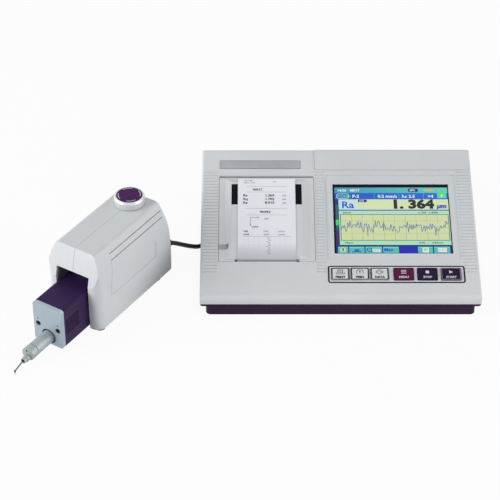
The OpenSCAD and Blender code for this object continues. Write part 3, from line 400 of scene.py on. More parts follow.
# %% [markdown]
# The record says which slot each node takes its finish from, so one loop dresses the whole frame. A few pieces of the
# same stuff are worked differently: the name strip is brushed along its length and dull, the detector's tube is
# blasted and hardly shines, the plate's screws are blackened, the knob is bright, and the base, the knob's cap and
# two of the keys are each a little darker or redder than the drive unit's purple.

# %% Dress the frame
own_finishes = {
    "paper_strip": strip_paper,
    "nameplate": finish("brushed_strip", (144, 147, 150), (160, 163, 166), (0.4, 0.52), drift=30.0, fine=1500.0,
                        depth=1e-5, strength=0.3, metal=0.8, stretch=(0.08, 1, 1)),
    "detector_tube": finish("blasted_tube", (160, 168, 168), (174, 181, 181), (0.5, 0.62), drift=60.0, metal=0.7),
    "front_plate": finish("satin_plate", (158, 172, 182), (170, 183, 192), (0.45, 0.58), drift=40.0, fine=1600.0,
                          depth=1e-5, strength=0.3, metal=0.6, stretch=(0.12, 1, 1), turn=-TURN),
    "plate_screws": finish("blackened_screw", (26, 27, 30), (40, 41, 44), (0.3, 0.42), metal=0.6),
    "height_knob": finish("bright_knob", (214, 218, 216), (222, 225, 223), (0.3, 0.4), metal=0.3, strength=0.1),
    "knob_cap": finish("cap_purple", (62, 22, 76), (70, 26, 84), (0.35, 0.48), gloss=0.1),
    "bottom_case": finish("base_purple", (44, 26, 52), (51, 31, 59), (0.45, 0.58), gloss=0.12),
    "stylus_arm": finish("stylus_steel", (92, 96, 99), (112, 115, 118), (0.3, 0.42), metal=0.9),
    "stop_key": finish("stop_purple", (30, 6, 44), (36, 9, 50), (0.4, 0.5), strength=0.2, gloss=0.12),
    "start_key": finish("start_purple", (31, 6, 43), (37, 9, 49), (0.4, 0.5), strength=0.2, gloss=0.12),
}
for part in frame["record"]["subparts"]:
    for slot in nodes[part["node"]].material_slots:
        slot.material = own_finishes.get(part["node"], finishes[part["material_slot"]])

# %% [markdown]
# One cord joins the two units. It leaves a tapered gland at the rear of the height unit, sinks to the table, passes
# under the edge of the display case and goes round its rear corner, where the spare length is wound into a coil.
# From there it climbs to the plug in the rear socket. The loose part goes through chosen points. The coil is worked
# out as four turns that go from the outer lower place of the bundle to the inner one, up, and out again, so that
# no two turns share a place.

# %% Line of the cord
LOOSE = [[-31.4, 92.2, 21.6], [-26, 93.4, 20], [-20, 94.9, 17.3], [-11, 98, 12.9], [-3.4, 104.6, 7.6],
         [1.2, 114, 3.8], [2.6, 125, 2.4], [2.6, 140, 2.4], [2.6, 156, 2.4], [2.6, 171.8, 2.4],
         [4.5, 182, 2.4], [10.4, 190.8, 2.4], [19, 196.6, 2.4], [29.4, 198.6, 2.4], [44, 198.6, 2.4]]
TAIL = [[23.8, 248.5, 9.4], [20.8, 239, 14.2], [20, 229, 20], [20, 220, 24.2], [20, 212, 25]]
COIL_MID, COIL_OUTER, COIL_STEP, COIL_LOW = (58, 234), 35.1, 4.8, 3.0
COIL_FIRST, COIL_LAST, COIL_POINTS = 270, 1580, 57
GO_IN, GO_UP, GO_OUT = (560, 630), (900, 970), (1230, 1300)


def eased(angle, first, last):
    """A step from 0 to 1 between two angles, level at both ends: 3s^2 - 2s^3."""
    s = np.clip((angle - first) / (last - first), 0, 1)
    return s * s * (3 - 2 * s)


turn_angle = np.linspace(COIL_FIRST, COIL_LAST, COIL_POINTS)
reach = COIL_OUTER - COIL_STEP * eased(turn_angle, *GO_IN) + COIL_STEP * eased(turn_angle, *GO_OUT)
height = COIL_LOW + COIL_STEP * eased(turn_angle, *GO_UP)
swing = np.radians(turn_angle)
turns = np.c_[COIL_MID[0] + reach * np.cos(swing), COIL_MID[1] + reach * np.sin(swing), height]
cord_line = placed(np.vstack([LOOSE, turns, TAIL]), display_frame)
print("cord points", len(cord_line))

# %% [markdown]
# Such a cord is stranded wire in an extruded black jacket, round and of one thickness, so it is one curve with a round
# section and closed ends. It stands for the two solid pieces of the cord, and is one length of lead.

# %% Cord
CORD_R, CORD_LENGTH = 2.3, 0.975
ROUND_STEPS, LINE_STEPS = 5, 6
cord_curve = bpy.data.curves.new("drive_lead", "CURVE")
cord_curve.dimensions = "3D"
cord_curve.bevel_depth = CORD_R * MM
cord_curve.bevel_resolution = ROUND_STEPS
cord_curve.resolution_u = LINE_STEPS
cord_curve.use_fill_caps = True
line = cord_curve.splines.new("BEZIER")
line.bezier_points.add(len(cord_line) - 1)
line.bezier_points.foreach_set("co", cord_line.ravel())
for point in line.bezier_points:
    point.handle_left_type = point.handle_right_type = "AUTO"
cord_curve.materials.append(finishes["black_cord"])
lead = bpy.data.objects.new("drive_lead", cord_curve)
scene.collection.objects.link(lead)
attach(lead, "base")
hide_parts("drive_cord", "cord_coil")
print("length along the points", np.linalg.norm(np.diff(cord_line, axis=0), axis=1).sum().round(4))

# %% [markdown]
# Two ties hold the coil. Each is a flat rubber band drawn tight round the bundle of four turns, so its path is a square
# with round corners in the plane across the bundle, and its section is a thin strip.

# %% Ties of the coil
TIE_HALF, TIE_THICK, TIE_WIDE, TIE_ROUND, TIE_AT = 4.75, 0.6, 4.5, 2.4, (300, 60)
BAND_CORNERS = 4


def tie_points(at, steps=9):
    """A band across the coil at an angle, four points to each step of its path.

    The path is quarter circles about four corner centres, with an inner and an outer line on both faces of the band.
    """
    a = np.radians(np.arange(4)[:, None] * 90 + np.linspace(0, 90, steps)[None]).ravel()
    corner = np.repeat([[1, 1], [-1, 1], [-1, -1], [1, -1]], steps, axis=0) * (TIE_HALF - TIE_ROUND)
    inner = corner + TIE_ROUND * np.c_[np.cos(a), np.sin(a)]
    outer = corner + (TIE_ROUND + TIE_THICK) * np.c_[np.cos(a), np.sin(a)]
    path = np.stack([inner, outer, outer, inner], 1)
    along = np.array([-1, -1, 1, 1]) * TIE_WIDE / 2
    out = COIL_OUTER - COIL_STEP / 2 + path[..., 0]
    up = COIL_LOW + COIL_STEP / 2 + path[..., 1]
    c, s = math.cos(math.radians(at)), math.sin(math.radians(at))
    x = COIL_MID[0] + out * c - along * s
    y = COIL_MID[1] + out * s + along * c
    return np.stack([x, y, up], -1).reshape(-1, 3)


for number, at in enumerate(TIE_AT):
    tie = shown(grid_mesh(f"coil_tie_{number + 1}", placed(tie_points(at), display_frame), BAND_CORNERS, True, True),
                finishes["black_rubber"])
    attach(tie, "base")
print("coil ties", len(TIE_AT), "lowest", COIL_LOW + COIL_STEP / 2 - TIE_HALF - TIE_THICK)

# %% [markdown]
# Screens, labels and print are all flat ink on a flat face. Each mark is a small patch of points in the deck's own
# x and t. The plain figures are bars, triangles, and rectangles with round corners, filled or drawn as a line.

# %% Plain figures


def bar(x0, x1, t0, t1):
    """A rectangle: its four corners and one face."""
    return np.array([[x0, t0], [x1, t0], [x1, t1], [x0, t1]], float), [(0, 1, 2, 3)]


def rounded(x0, x1, t0, t1, r, steps=5):
    """The outline of a rectangle with round corners: quarter circles about four corner centres."""
    a = np.radians(np.arange(4)[:, None] * 90 + np.linspace(0, 90, steps)[None])
    cx = np.array([x1 - r, x0 + r, x0 + r, x1 - r])[:, None]
    ct = np.array([t1 - r, t1 - r, t0 + r, t0 + r])[:, None]
    return np.stack([cx + r * np.cos(a), ct + r * np.sin(a)], -1).reshape(-1, 2)


def triangle(*corners):
    """A filled triangle: its three corners and one face."""
    return np.array(corners, float), [(0, 1, 2)]


def pad(x0, x1, t0, t1, r):
    """A filled rectangle with round corners."""
    edge = rounded(x0, x1, t0, t1, r)
    return edge, [tuple(range(len(edge)))]


def ring(x0, x1, t0, t1, r, w):
    """A line of width w inside a rounded outline: cells between the outline and a smaller one."""
    outer, inner = rounded(x0, x1, t0, t1, r), rounded(x0 + w, x1 - w, t0 + w, t1 - w, max(r - w, 0.05))
    n = len(outer)
    i = np.arange(n)
    return np.vstack([outer, inner]), np.c_[i, (i + 1) % n, n + (i + 1) % n, n + i].tolist()


print("corners of a rounded outline", len(rounded(0, 2, 0, 2, 0.5)))

# %% [markdown]
# The other marks are discs, strips along a line, and words from the font that comes with Blender, made into meshes.

# %% Discs, lines and words


def disc(x, t, r, steps=28, first=0.0):
    """A filled circle, or a regular figure where steps is small."""
    a = np.radians(first) + np.arange(steps) * 2 * np.pi / steps
    return np.c_[x + r * np.cos(a), t + r * np.sin(a)], [tuple(range(steps))]


def stroke(line, w):
    """A strip of width w along a line: each point is moved sideways both ways by half of it."""
    line = np.asarray(line, float)
    along = np.gradient(line, axis=0)
    along /= np.linalg.norm(along, axis=1)[:, None]
    side = np.c_[-along[:, 1], along[:, 0]] * w / 2
    n = len(line)
    i = np.arange(n - 1)
    return np.vstack([line - side, line + side]), np.c_[i, i + 1, n + i + 1, n + i].tolist()


def words(text, x, t, cap, align="LEFT", bold=0.0, wide=1.0, slant=0.0):
    """Words as a mesh: the font's outlines filled, scaled to a capital height, with the foot of the line at (x, t)."""
    curve = bpy.data.curves.new("words", "FONT")
    curve.body, curve.align_x, curve.offset, curve.shear, curve.resolution_u = text, align, bold, slant, 2
    obj = bpy.data.objects.new("words", curve)
    mesh = bpy.data.meshes.new_from_object(obj)
    points = np.zeros(len(mesh.vertices) * 3)
    mesh.vertices.foreach_get("co", points)
    faces = [tuple(p.vertices) for p in mesh.polygons]
    bpy.data.objects.remove(obj)
    bpy.data.curves.remove(curve)
    bpy.data.meshes.remove(mesh)
    return points.reshape(-1, 3)[:, :2] * (cap / CAP_SHARE) * (wide, 1) + (x, t), faces


# The font's own capital height is measured on one letter at a share of 1
CAP_SHARE = 1.0
CAP_SHARE = float(words("H", 0, 0, 1)[0][:, 1].max())
print("capital height of the font", round(CAP_SHARE, 3))

# %% [markdown]
# Marks of one colour are gathered into one mesh, so that a page of many small signs stays a handful of pieces. Each
# piece rides on the body that it is printed on, a hair above it, and a second layer lies a hair above the first.

# %% Pieces from marks
LAYER = 0.02


def marks(name, items, n, material, body, frame_of=deck_frame):
    """One piece from many marks of one colour, laid flat at height n of a frame."""
    points, faces, count = [], [], 0
    for p, f in items:
        points.append(np.c_[p, np.full(len(p), n)])
        faces += [tuple(count + k for k in face) for face in f]
        count += len(p)
    mesh = bpy.data.meshes.new(name)
    mesh.from_pydata(placed(np.vstack(points), frame_of), [], faces)
    obj = shown(mesh, material)
    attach(obj, body)
    return obj


print("marks lie", LAYER, "mm apart")

# %% [markdown]
# The screen is a lit panel behind touch glass. A lit surface sends out light of its own, so each of its colours is
# part paint and part glow, and shades a little from one side to the other.

# %% Glowing colours
GLOW, PAINT, GLASS_ROUGH, GLASS_GLOSS = 0.55, 0.42, 0.25, 0.25


def glowing(name, first, last, axis="Y", span=(-0.01, 0.08)):
    """A colour of the lit screen that shades from one tone to another along an axis of the object."""
    material, tree, surface = shader(name)
    place = tree.nodes.new("ShaderNodeSeparateXYZ")
    tree.links.new(tree.nodes.new("ShaderNodeTexCoord").outputs["Object"], place.inputs[0])
    along = tree.nodes.new("ShaderNodeMapRange")
    along.inputs["From Min"].default_value, along.inputs["From Max"].default_value = span
    tree.links.new(place.outputs[axis], along.inputs["Value"])
    for socket, level in (("Emission Color", 1.0), ("Base Color", PAINT)):
        ramp = tree.nodes.new("ShaderNodeValToRGB")
        for k, tone in enumerate((first, last)):
            ramp.color_ramp.elements[k].color = [c * level for c in linear(*tone)[:3]] + [1]
        tree.links.new(along.outputs["Result"], ramp.inputs["Fac"])
        tree.links.new(ramp.outputs["Color"], surface.inputs[socket])
    surface.inputs["Emission Strength"].default_value = GLOW
    surface.inputs["Roughness"].default_value = GLASS_ROUGH
    surface.inputs["Specular IOR Level"].default_value = GLASS_GLOSS
    return material


print("glow", GLOW, "paint", PAINT)

# %% [markdown]
# The picture is a measuring page: a status line, a line of settings, one large reading with its unit, the measured
# profile on a grid, and a row of touch buttons. Its tones are cool at the top and the foot and pale green between.

# %% Tones of the page
SCREEN_SPAN, BAND_SPAN = (0.084, 0.198), (0.084, 0.116)
lit_tones = {
    "teal": glowing("screen_teal", (58, 150, 190), (96, 205, 190), "X", SCREEN_SPAN),
    "blue": glowing("screen_blue", (22, 84, 198), (34, 108, 212), "X", SCREEN_SPAN),
    "band": glowing("screen_band", (190, 226, 248), (216, 230, 180), "X", BAND_SPAN),
    "pale_green": glowing("screen_pale_green", (170, 226, 196), (184, 230, 188)),
    "plot": glowing("screen_plot", (208, 219, 164), (214, 225, 174)),
    "grid": glowing("screen_grid", (158, 176, 138), (166, 184, 146)),
    "trace": glowing("screen_trace", (62, 98, 178), (76, 112, 188)),
    "navy": glowing("screen_navy", (14, 28, 110), (22, 40, 128)),
    "pure_blue": glowing("screen_pure_blue", (12, 24, 176), (18, 34, 190)),
    "button": glowing("screen_button", (74, 184, 186), (104, 206, 196)),
    "pale": glowing("screen_pale", (226, 240, 224), (236, 248, 236)),
    "ink": glowing("screen_ink", (18, 22, 26), (28, 32, 36)),
    "word_blue": glowing("screen_word_blue", (30, 66, 196), (40, 80, 208)),
    "green": glowing("screen_green", (58, 214, 62), (78, 228, 84)),
    "deep_green": glowing("screen_deep_green", (22, 96, 74), (28, 118, 82)),
    "maroon": glowing("screen_maroon", (72, 26, 60), (88, 32, 66)),
    "amber": glowing("screen_amber", (206, 164, 74), (222, 182, 92)),
}
print("screen colours", len(lit_tones))

# %% [markdown]
# The page is laid out in rows along the deck, from the buttons at the front to the status line at the rear. A level bar
# runs up its left side, next to the reading and the graph.

# %% Screen page
GLASS_N = -1.3
LEFT, RIGHT, LEVEL_WIDE = 134.7, 249.3, 3.8
ROWS = {"buttons": (55.4, 65.0), "rule_low": (65.0, 66.4), "graph": (66.4, 110.2), "rule_high": (110.2, 111.5),
        "value": (111.5, 125.0), "settings": (125.0, 133.3), "status": (133.3, 140.5)}
PLOT = (140.2, 248.0, 72.4, 105.0)
screen_marks = {}


def ink(tone, layer, *items):
    """Collects marks of one lit tone on one layer of the screen."""
    screen_marks.setdefault((tone, layer), []).extend(items)


for row, tone in (("buttons", "navy"), ("rule_low", "navy"), ("graph", "pale_green"), ("rule_high", "word_blue"),
                  ("value", "band"), ("settings", "blue"), ("status", "teal")):
    ink(tone, 1, bar(LEFT, RIGHT, *ROWS[row]))

ink("navy", 2, bar(LEFT, LEFT + LEVEL_WIDE, ROWS["graph"][0], ROWS["value"][1]))
for tone, inset, t0, t1 in (("deep_green", 0.9, 98.5, 118.0), ("green", 0.6, 91.5, 98.5),
                            ("maroon", 0.9, 69.0, 86.0), ("deep_green", 0.9, 86.0, 91.5)):
    ink(tone, 3, bar(LEFT + inset, LEFT + LEVEL_WIDE - inset, t0, t1))
print("screen rows", len(ROWS))

# %% [markdown]
# The status line has a time, a date and two small signs. The settings below it are a name, a speed, a cut-off length
# and a count, parted by thin upright lines. A home button at the right spans both rows: a roof, a body and a door.

# %% Status line and settings
SETTING_T, SETTING_CAP, THIN_BOLD = 127.2, 3.6, 0.03
ink("pale", 2, words("14:26   08/17", 137.4, 135.3, 2.9, bold=THIN_BOLD))
ink("navy", 2, pad(209.5, 219.5, 134.6, 139.2, 1.6))
ink("pale", 3, words("SPC", 211.3, 135.7, 2.2, bold=THIN_BOLD))
ink("amber", 2, bar(225.5, 236.0, 135.8, 138.0))
ink("pale", 2, ring(136.8, 149.0, 125.9, 132.4, 1.6, 0.55))
ink("green", 2, words("COND", 138.1, 127.6, 2.7, bold=0.04))
for setting, x in (("P-2", 152.6), ("0.2 mm/s", 178.4), ("λc 2.5", 202.6), ("×4", 229.0)):
    ink("pale", 2, words(setting, x, SETTING_T, SETTING_CAP, bold=THIN_BOLD))
for x in (150.6, 174.6, 199.8, 224.6):
    ink("teal", 2, bar(x, x + 0.5, 125.6, 132.8))
ink("button", 2, pad(238.6, 248.0, 126.4, 139.6, 1.2))
ink("green", 3, triangle([240.0, 132.6], [246.6, 132.6], [243.3, 137.6]), bar(241.0, 245.6, 128.4, 132.6))
ink("pale", 4, bar(242.5, 244.1, 128.4, 131.2))
print("status and settings drawn")

# %% [markdown]
# The reading is the largest thing on the page, in heavy black figures, with the name of the value in front and its unit
# behind. All the figures are made up.

# %% Reading
ink("word_blue", 2, words("Ra", 141.4, 113.6, 8.4, bold=0.02))
ink("navy", 2, pad(158.2, 167.2, 121.2, 124.6, 0.8))
ink("pale", 3, words("n=5", 159.6, 121.9, 2.0, bold=THIN_BOLD))
ink("ink", 2, words("1. 364", 234.6, 113.5, 10.4, "RIGHT", bold=0.055, wide=1.13))
ink("word_blue", 2, words("µm", 237.2, 113.8, 5.0, bold=0.06, slant=0.2))
print("reading drawn")

# %% [markdown]
# The graph has a pale plot with a thin frame, a grid of ten by four cells, and captions for its scales. The profile
# is a made-up one: a seeded random row, smoothed once, with a few deeper valleys and higher peaks, as a milled face
# gives.

# %% Graph
GRID_ACROSS, GRID_UP, GRID_HALF = 10, 4, 0.18
CAPTION_CAP, CAPTION_BOLD = 2.3, 0.02
SAMPLES, PROFILE_T, PROFILE_SIZE, PROFILE_WIDE = 190, 89.6, 4.6, 0.6
VALLEYS, PEAKS = [46, 74, 118, 166], [30, 44, 60, 133]
ink("plot", 2, bar(*PLOT))
ink("navy", 3, ring(PLOT[0] - 0.5, PLOT[1] + 0.5, PLOT[2] - 0.5, PLOT[3] + 0.5, 0.1, 0.6))
for k in range(1, GRID_ACROSS):
    x = PLOT[0] + k * (PLOT[1] - PLOT[0]) / GRID_ACROSS
    ink("grid", 3, bar(x - GRID_HALF, x + GRID_HALF, PLOT[2], PLOT[3]))
for k in range(1, GRID_UP):
    t = PLOT[2] + k * (PLOT[3] - PLOT[2]) / GRID_UP
    ink("grid", 3, bar(PLOT[0], PLOT[1], t - GRID_HALF, t + GRID_HALF))
for caption, x, t, cap in (("20µm", 142.4, 106.6, 2.4), ("x 200   y 4000", 218.5, 106.6, CAPTION_CAP),
                           ("-20µm", 142.4, 68.0, 2.4), ("0.00   -   4.80mm", 217.5, 68.0, CAPTION_CAP)):
    ink("deep_green", 2, words(caption, x, t, cap, bold=CAPTION_BOLD))
rough = np.random.default_rng(41)
samples = rough.normal(0, 1, SAMPLES)
samples = np.convolve(samples, [0.25, 0.7, 0.25], "same") + 0.2 * np.sin(np.arange(SAMPLES) / 9.0)
samples[VALLEYS] -= 2.6
samples[PEAKS] += 1.5
profile_x = np.linspace(PLOT[0] + 0.4, PLOT[1] - 0.4, SAMPLES)
profile_t = np.clip(PROFILE_T + PROFILE_SIZE * samples, PLOT[2] + 1, PLOT[3] - 1)
ink("trace", 4, stroke(np.c_[profile_x, profile_t], PROFILE_WIDE))
print("profile", profile_t.min().round(1), profile_t.max().round(1))

# %% [markdown]
# Each touch button is a teal tile with a small picture: a question mark, a stage with a part on it, a lens over a page,
# a choice of readings, a page and a chart. One tile stays plain blue, because the page leaves that button unused.

# %% Touch buttons
TILES = [(136.4, 146.4), (147.4, 162.6), (163.6, 180.0), (181.0, 196.8), (215.6, 230.5), (231.6, 247.6)]
TILE_T, SHINE_T = (56.0, 64.2), (63.2, 63.7)
for x0, x1 in TILES:
    ink("button", 2, pad(x0, x1, *TILE_T, 0.5))
    ink("pale_green", 3, bar(x0 + 0.6, x1 - 0.6, *SHINE_T))
ink("pure_blue", 2, bar(197.6, 214.8, 55.4, 64.4))
ink("plot", 3, disc(141.4, 60.0, 3.1))
ink("ink", 4, words("?", 141.4, 58.2, 3.8, "CENTER", bold=0.05))
ink("green", 3, disc(155.0, 62.0, 1.3))
ink("word_blue", 3, pad(152.6, 157.4, 58.8, 60.9, 0.6), bar(150.4, 159.6, 57.2, 58.4))
ink("pale", 3, bar(170.4, 178.4, 57.4, 61.4))
ink("grid", 4, *[bar(171.4, 177.4, t, t + 0.4) for t in (60.2, 59.2, 58.2)])
ink("navy", 4, ring(165.0, 170.2, 57.8, 63.0, 2.6, 0.7), stroke([[169.2, 58.6], [171.2, 57.0]], 0.8))
ink("word_blue", 3, words("Max", 182.0, 58.6, 3.6, bold=0.03))
ink("green", 3, triangle([192.4, 57.4], [196.0, 57.4], [194.2, 61.8]))
ink("pale", 3, pad(220.2, 226.4, 57.0, 63.0, 0.6))
ink("deep_green", 4, bar(221.2, 225.4, 61.4, 61.8), bar(221.2, 225.4, 60.2, 60.6), bar(221.2, 224.2, 59.0, 59.4))
ink("pale", 3, bar(235.4, 244.2, 57.4, 62.6))
ink("trace", 4, stroke([[236.0, 58.6], [237.6, 61.0], [239.2, 59.0], [240.8, 61.6], [242.4, 59.4], [243.6, 60.6]], 0.5))
print("touch buttons", len(TILES))

# %% [markdown]
# Now each tone on each layer becomes one piece, a hair above the layer under it, on the lit glass.

# %% Screen pieces
for (tone, layer), items in screen_marks.items():
    marks(f"screen_{tone}_{layer}", items, GLASS_N + layer * LAYER, lit_tones[tone], "base")
print("screen pieces", len(screen_marks))

# %% [markdown]
# What isn't on the screen is printed on plastic or paper. Pad or screen printing leaves an even film, dull and nearly
# black, pale or grey. The strip's printer draws in small dots, so its grey is rougher and never quite black. One grey
# here is no print: it is painted shade for the front edge of the height unit's side panel.

# %% Inks
inks = {
    "black_ink": finish("black_ink", (12, 12, 16), (20, 20, 24), (0.5, 0.65), fine=1500.0, strength=0.1, gloss=0.1),
    "pale_ink": finish("pale_ink", (206, 203, 212), (216, 213, 221), (0.4, 0.55), fine=1500.0, strength=0.1),
    "grey_ink": finish("grey_ink", (118, 110, 130), (134, 126, 146), (0.4, 0.55), fine=1500.0, strength=0.1),
    # Painted shade, not print: the grey of the side panel's front edge, which catches less light than the skin
    "painted_edge_shade": finish("painted_edge_shade", (150, 154, 160), (160, 164, 170), (0.45, 0.6), fine=1500.0, strength=0.1),
    "print_grey": finish("print_grey", (96, 98, 108), (124, 126, 136), (0.6, 0.75), fine=900.0, strength=0.1),
    "print_black": finish("print_black", (44, 45, 52), (70, 72, 80), (0.6, 0.75), fine=900.0, strength=0.1),
    "print_faint": finish("print_faint", (196, 198, 208), (206, 208, 218), (0.6, 0.75), fine=900.0, strength=0.1),
}
print("inks", len(inks))

# %% [markdown]
# Six keys stand in a panel with a black printed border. The three small keys are pale with a black outline, and the
# three large ones are maroon and dark purple with pale marks. Each key has a word and, above it, a sign made of a few
# bars, strokes and triangles.

# %% Key panel and key signs
PANEL, PANEL_ROUND, PANEL_LINE = (125.6, 260.0, 18.0, 39.2), 2.5, 1.45
PANEL_N, KEY_N = 0.2, 1.2
KEY_T = (21.2, 36.0)
KEYS = {"print": (128.8, 146.4), "feed": (148.1, 165.7), "data": (167.4, 185.0),
        "menu": (190.1, 209.5), "stop": (213.3, 232.7), "start": (236.5, 255.9)}
SIGN_T, SIGN_LINE = 30.4, 0.7
marks("panel_border", [ring(*PANEL, PANEL_ROUND, PANEL_LINE)], PANEL_N + LAYER, inks["black_ink"], "base")


def key_sign(name, x):
    """The small sign above a key's word, drawn about x: a list of marks."""
    t = SIGN_T
    if name == "print":
        return [ring(x - 2.6, x + 2.6, t - 1.2, t + 3.4, 0.3, 0.6), bar(x - 4.2, x + 4.2, t - 2.4, t - 1.9),
                bar(x - 4.2, x - 3.7, t - 2.4, t + 0.2), bar(x + 3.7, x + 4.2, t - 2.4, t + 0.2),
                bar(x - 1.6, x + 1.6, t + 1.6, t + 2.0), bar(x - 1.6, x + 1.6, t + 0.4, t + 0.8)]
    if name == "feed":
        return [bar(x - 3.4, x - 2.9, t - 2.2, t + 1.6), bar(x + 2.9, x + 3.4, t - 2.2, t + 1.6),
                stroke([[x - 3.2, t + 1.5], [x - 1.6, t + 3.0], [x + 1.6, t + 3.0], [x + 3.2, t + 1.5]], SIGN_LINE),
                bar(x - 0.25, x + 0.25, t - 1.8, t + 1.0),
                triangle([x - 1.1, t + 0.4], [x + 1.1, t + 0.4], [x, t + 2.0])]
    if name == "data":
        return [stroke([[x - 3.6, t + 0.4], [x, t + 3.3], [x + 3.6, t + 0.4], [x, t - 2.5], [x - 3.6, t + 0.4],
                        [x - 2.4, t + 1.4]], SIGN_LINE),
                bar(x - 1.2, x + 1.2, t + 0.2, t + 0.6),
                triangle([x + 0.8, t - 0.6], [x + 2.2, t + 0.4], [x + 0.8, t + 1.4])]
    if name == "menu":
        return [bar(x - 2.6, x + 2.6, t + k, t + k + 0.7) for k in (-1.6, 0.2, 2.0)]
    if name == "stop":
        return [bar(x - 1.7, x + 1.7, t - 1.4, t + 2.0)]
    return [triangle([x - 1.8, t - 1.6], [x + 2.2, t + 0.3], [x - 1.8, t + 2.2])]


print("panel", PANEL)

# %% [markdown]
# Each key's ink rides on that key, so it goes down with it, while the border stays on the panel. The start key has a
# thin grey frame besides its mark.

# %% Marks on the keys
LABEL_T, LABEL_CAP = 23.4, 2.4
DARK_SLOTS = {"menu": "maroon_key", "stop": "purple_plastic", "start": "purple_plastic"}


def key_outline(x0, x1, inset, r, w):
    """A line of width w round a key's face, set in from its edge."""
    return ring(x0 + inset, x1 - inset, KEY_T[0] + inset, KEY_T[1] - inset, r, w)


for name, (x0, x1) in KEYS.items():
    dark = name in DARK_SLOTS
    middle = (x0 + x1) / 2
    items = key_sign(name, middle)
    items.append(words(name.upper(), middle, LABEL_T, LABEL_CAP, "CENTER", bold=0.03 if dark else 0.06))
    if not dark:
        items.append(key_outline(x0, x1, 0.1, 0.8, 1.15))
    slot = DARK_SLOTS.get(name, "light_key")
    marks(f"{name}_mark", items, KEY_N + LAYER, inks["pale_ink" if dark else "black_ink"], f"{name}_button")
    if name == "start":
        marks("start_frame", [key_outline(x0, x1, 0.2, 0.9, 0.7)], KEY_N + LAYER, inks["grey_ink"], "start_button")
print("keys marked", len(KEYS))

# %% [markdown]
# The strip carries a heading, three readings, the two scales of the graph with an axis sign, and the start of the
# graph itself, all of it made up for this page. The first half of the print is the heading and the readings.

# %% Printed strip: heading and readings
RULE_HALF, HEAD_CAP, ROW_CAP, ROW_STEP = 0.14, 2.2, 2.9, 4.75
rules = [(45.4, 85.6, 137.6), (45.4, 85.6, 130.4), (44.6, 86.6, 109.0), (45.4, 86.6, 100.6), (42.4, 89.6, 73.2)]
grey_print = [bar(x0, x1, t - RULE_HALF, t + RULE_HALF) for x0, x1, t in rules]
grey_print += [words("NO. 0427", 43.0, 144.6, 1.5, bold=0.02), words("08/17  14:26", 43.0, 141.8, 1.5, bold=0.02),
               words("1/5", 72.4, 143.2, 1.5, bold=0.02)]
black_print = [words("RESULT", 52.0, 132.6, HEAD_CAP, bold=0.05, wide=0.9),
               words("PROFILE", 59.0, 103.4, HEAD_CAP, bold=0.05, wide=0.9)]
for row, (name, value) in enumerate((("Ra", "1.364"), ("Rq", "1.702"), ("Rz", "8.915"))):
    t = 124.6 - ROW_STEP * row
    black_print += [words(name, 42.2, t, ROW_CAP, bold=0.035), words(value, 64.2, t, ROW_CAP, bold=0.035)]
    grey_print.append(words("µm", 81.8, t + 0.3, 1.9, bold=0.03))
print("heading and readings", len(grey_print) + len(black_print))

# %% [markdown]
# The other half is the axis sign, the scales and the graph, a zigzag down the middle of a faint grid. The print
# rides on the cover with the strip.

# %% Printed strip: graph
PAPER_N = 3.8
GRAPH_X, GRAPH_T, GRAPH_LINE = (42.4, 89.6), (50.4, 72.4), 0.12
GRAPH_CELL, GRAPH_COLUMNS, GRAPH_ROWS, GRAPH_FOOT = 5.2, 10, 4, 0.8
TRACE_X, TRACE_SIZE, TRACE_POINTS, TRACE_WIDE, AXIS_WIDE = 67.4, 2.6, 60, 0.3, 0.35
black_print += [stroke([[57.0, 97.2], [49.6, 97.2]], AXIS_WIDE), stroke([[49.6, 97.3], [49.6, 88.2]], AXIS_WIDE),
                triangle([56.6, 96.4], [58.6, 97.2], [56.6, 98.0]), triangle([48.8, 88.6], [49.6, 86.6], [50.4, 88.6])]
grey_print += [words("x20", 63.4, 94.8, 1.9, bold=0.03), words("x4000", 50.6, 84.4, 1.9, bold=0.03)]
for t, name, value, unit in ((78.8, "VER", "5.00", "µm/cm"), (74.8, "HOR", "250.0", "µm/cm")):
    grey_print += [words(name, 42.6, t, 1.8, bold=0.05), words(value, 62.6, t, 1.7, bold=0.02),
                   words(unit, 77.0, t, 1.7, bold=0.02)]
strip_t = np.linspace(GRAPH_T[1] + 0.2, GRAPH_T[0], TRACE_POINTS)
zigzag = np.interp(np.arange(TRACE_POINTS), np.arange(0, TRACE_POINTS + 2, 4), np.tile([-0.9, 0.8, -0.3, 1.0], 4))
grey_print.append(stroke(np.c_[TRACE_X + TRACE_SIZE * zigzag, strip_t], TRACE_WIDE))
upright = GRAPH_X[0] + GRAPH_CELL * np.arange(GRAPH_COLUMNS)
level = GRAPH_T[0] + GRAPH_FOOT + GRAPH_CELL * np.arange(GRAPH_ROWS)
faint_print = [bar(x, x + GRAPH_LINE, *GRAPH_T) for x in upright]
faint_print += [bar(*GRAPH_X, t, t + GRAPH_LINE) for t in level]
marks("strip_grid", faint_print, PAPER_N + LAYER, inks["print_faint"], "cover")
marks("strip_grey", grey_print, PAPER_N + 2 * LAYER, inks["print_grey"], "cover")
marks("strip_black", black_print, PAPER_N + 2 * LAYER, inks["print_black"], "cover")
print("strip marks", len(grey_print) + len(black_print))

# %% [markdown]
# Two thin dark lines run along the right shoulder of the height unit. The shoulder leans in on a large radius, so the
# lines, which would be pad printed, are bent strips: at each height the side stands where the shoulder's circle is.

# %% Shoulder lines
SHOULDER_R, SHOULDER_Z, SHOULDER_MID, SKIN = 72.0, 51.0, -41.0, 0.03
LINE_Y, LINE_ROWS, LINE_COLUMNS = (27.0, 112.0), 3, 30


def shoulder_line(z_low, z_high):
    """A strip on the leaning side: x from the circle of the shoulder at each height, a skin's depth outside it."""
    z, y = np.meshgrid(np.linspace(z_low, z_high, LINE_ROWS), np.linspace(*LINE_Y, LINE_COLUMNS), indexing="ij")
    x = SHOULDER_MID + np.sqrt((SHOULDER_R + SKIN) ** 2 - (z - SHOULDER_Z) ** 2)
    return placed(np.stack([x, y, z], -1).reshape(-1, 3), unit_frame)


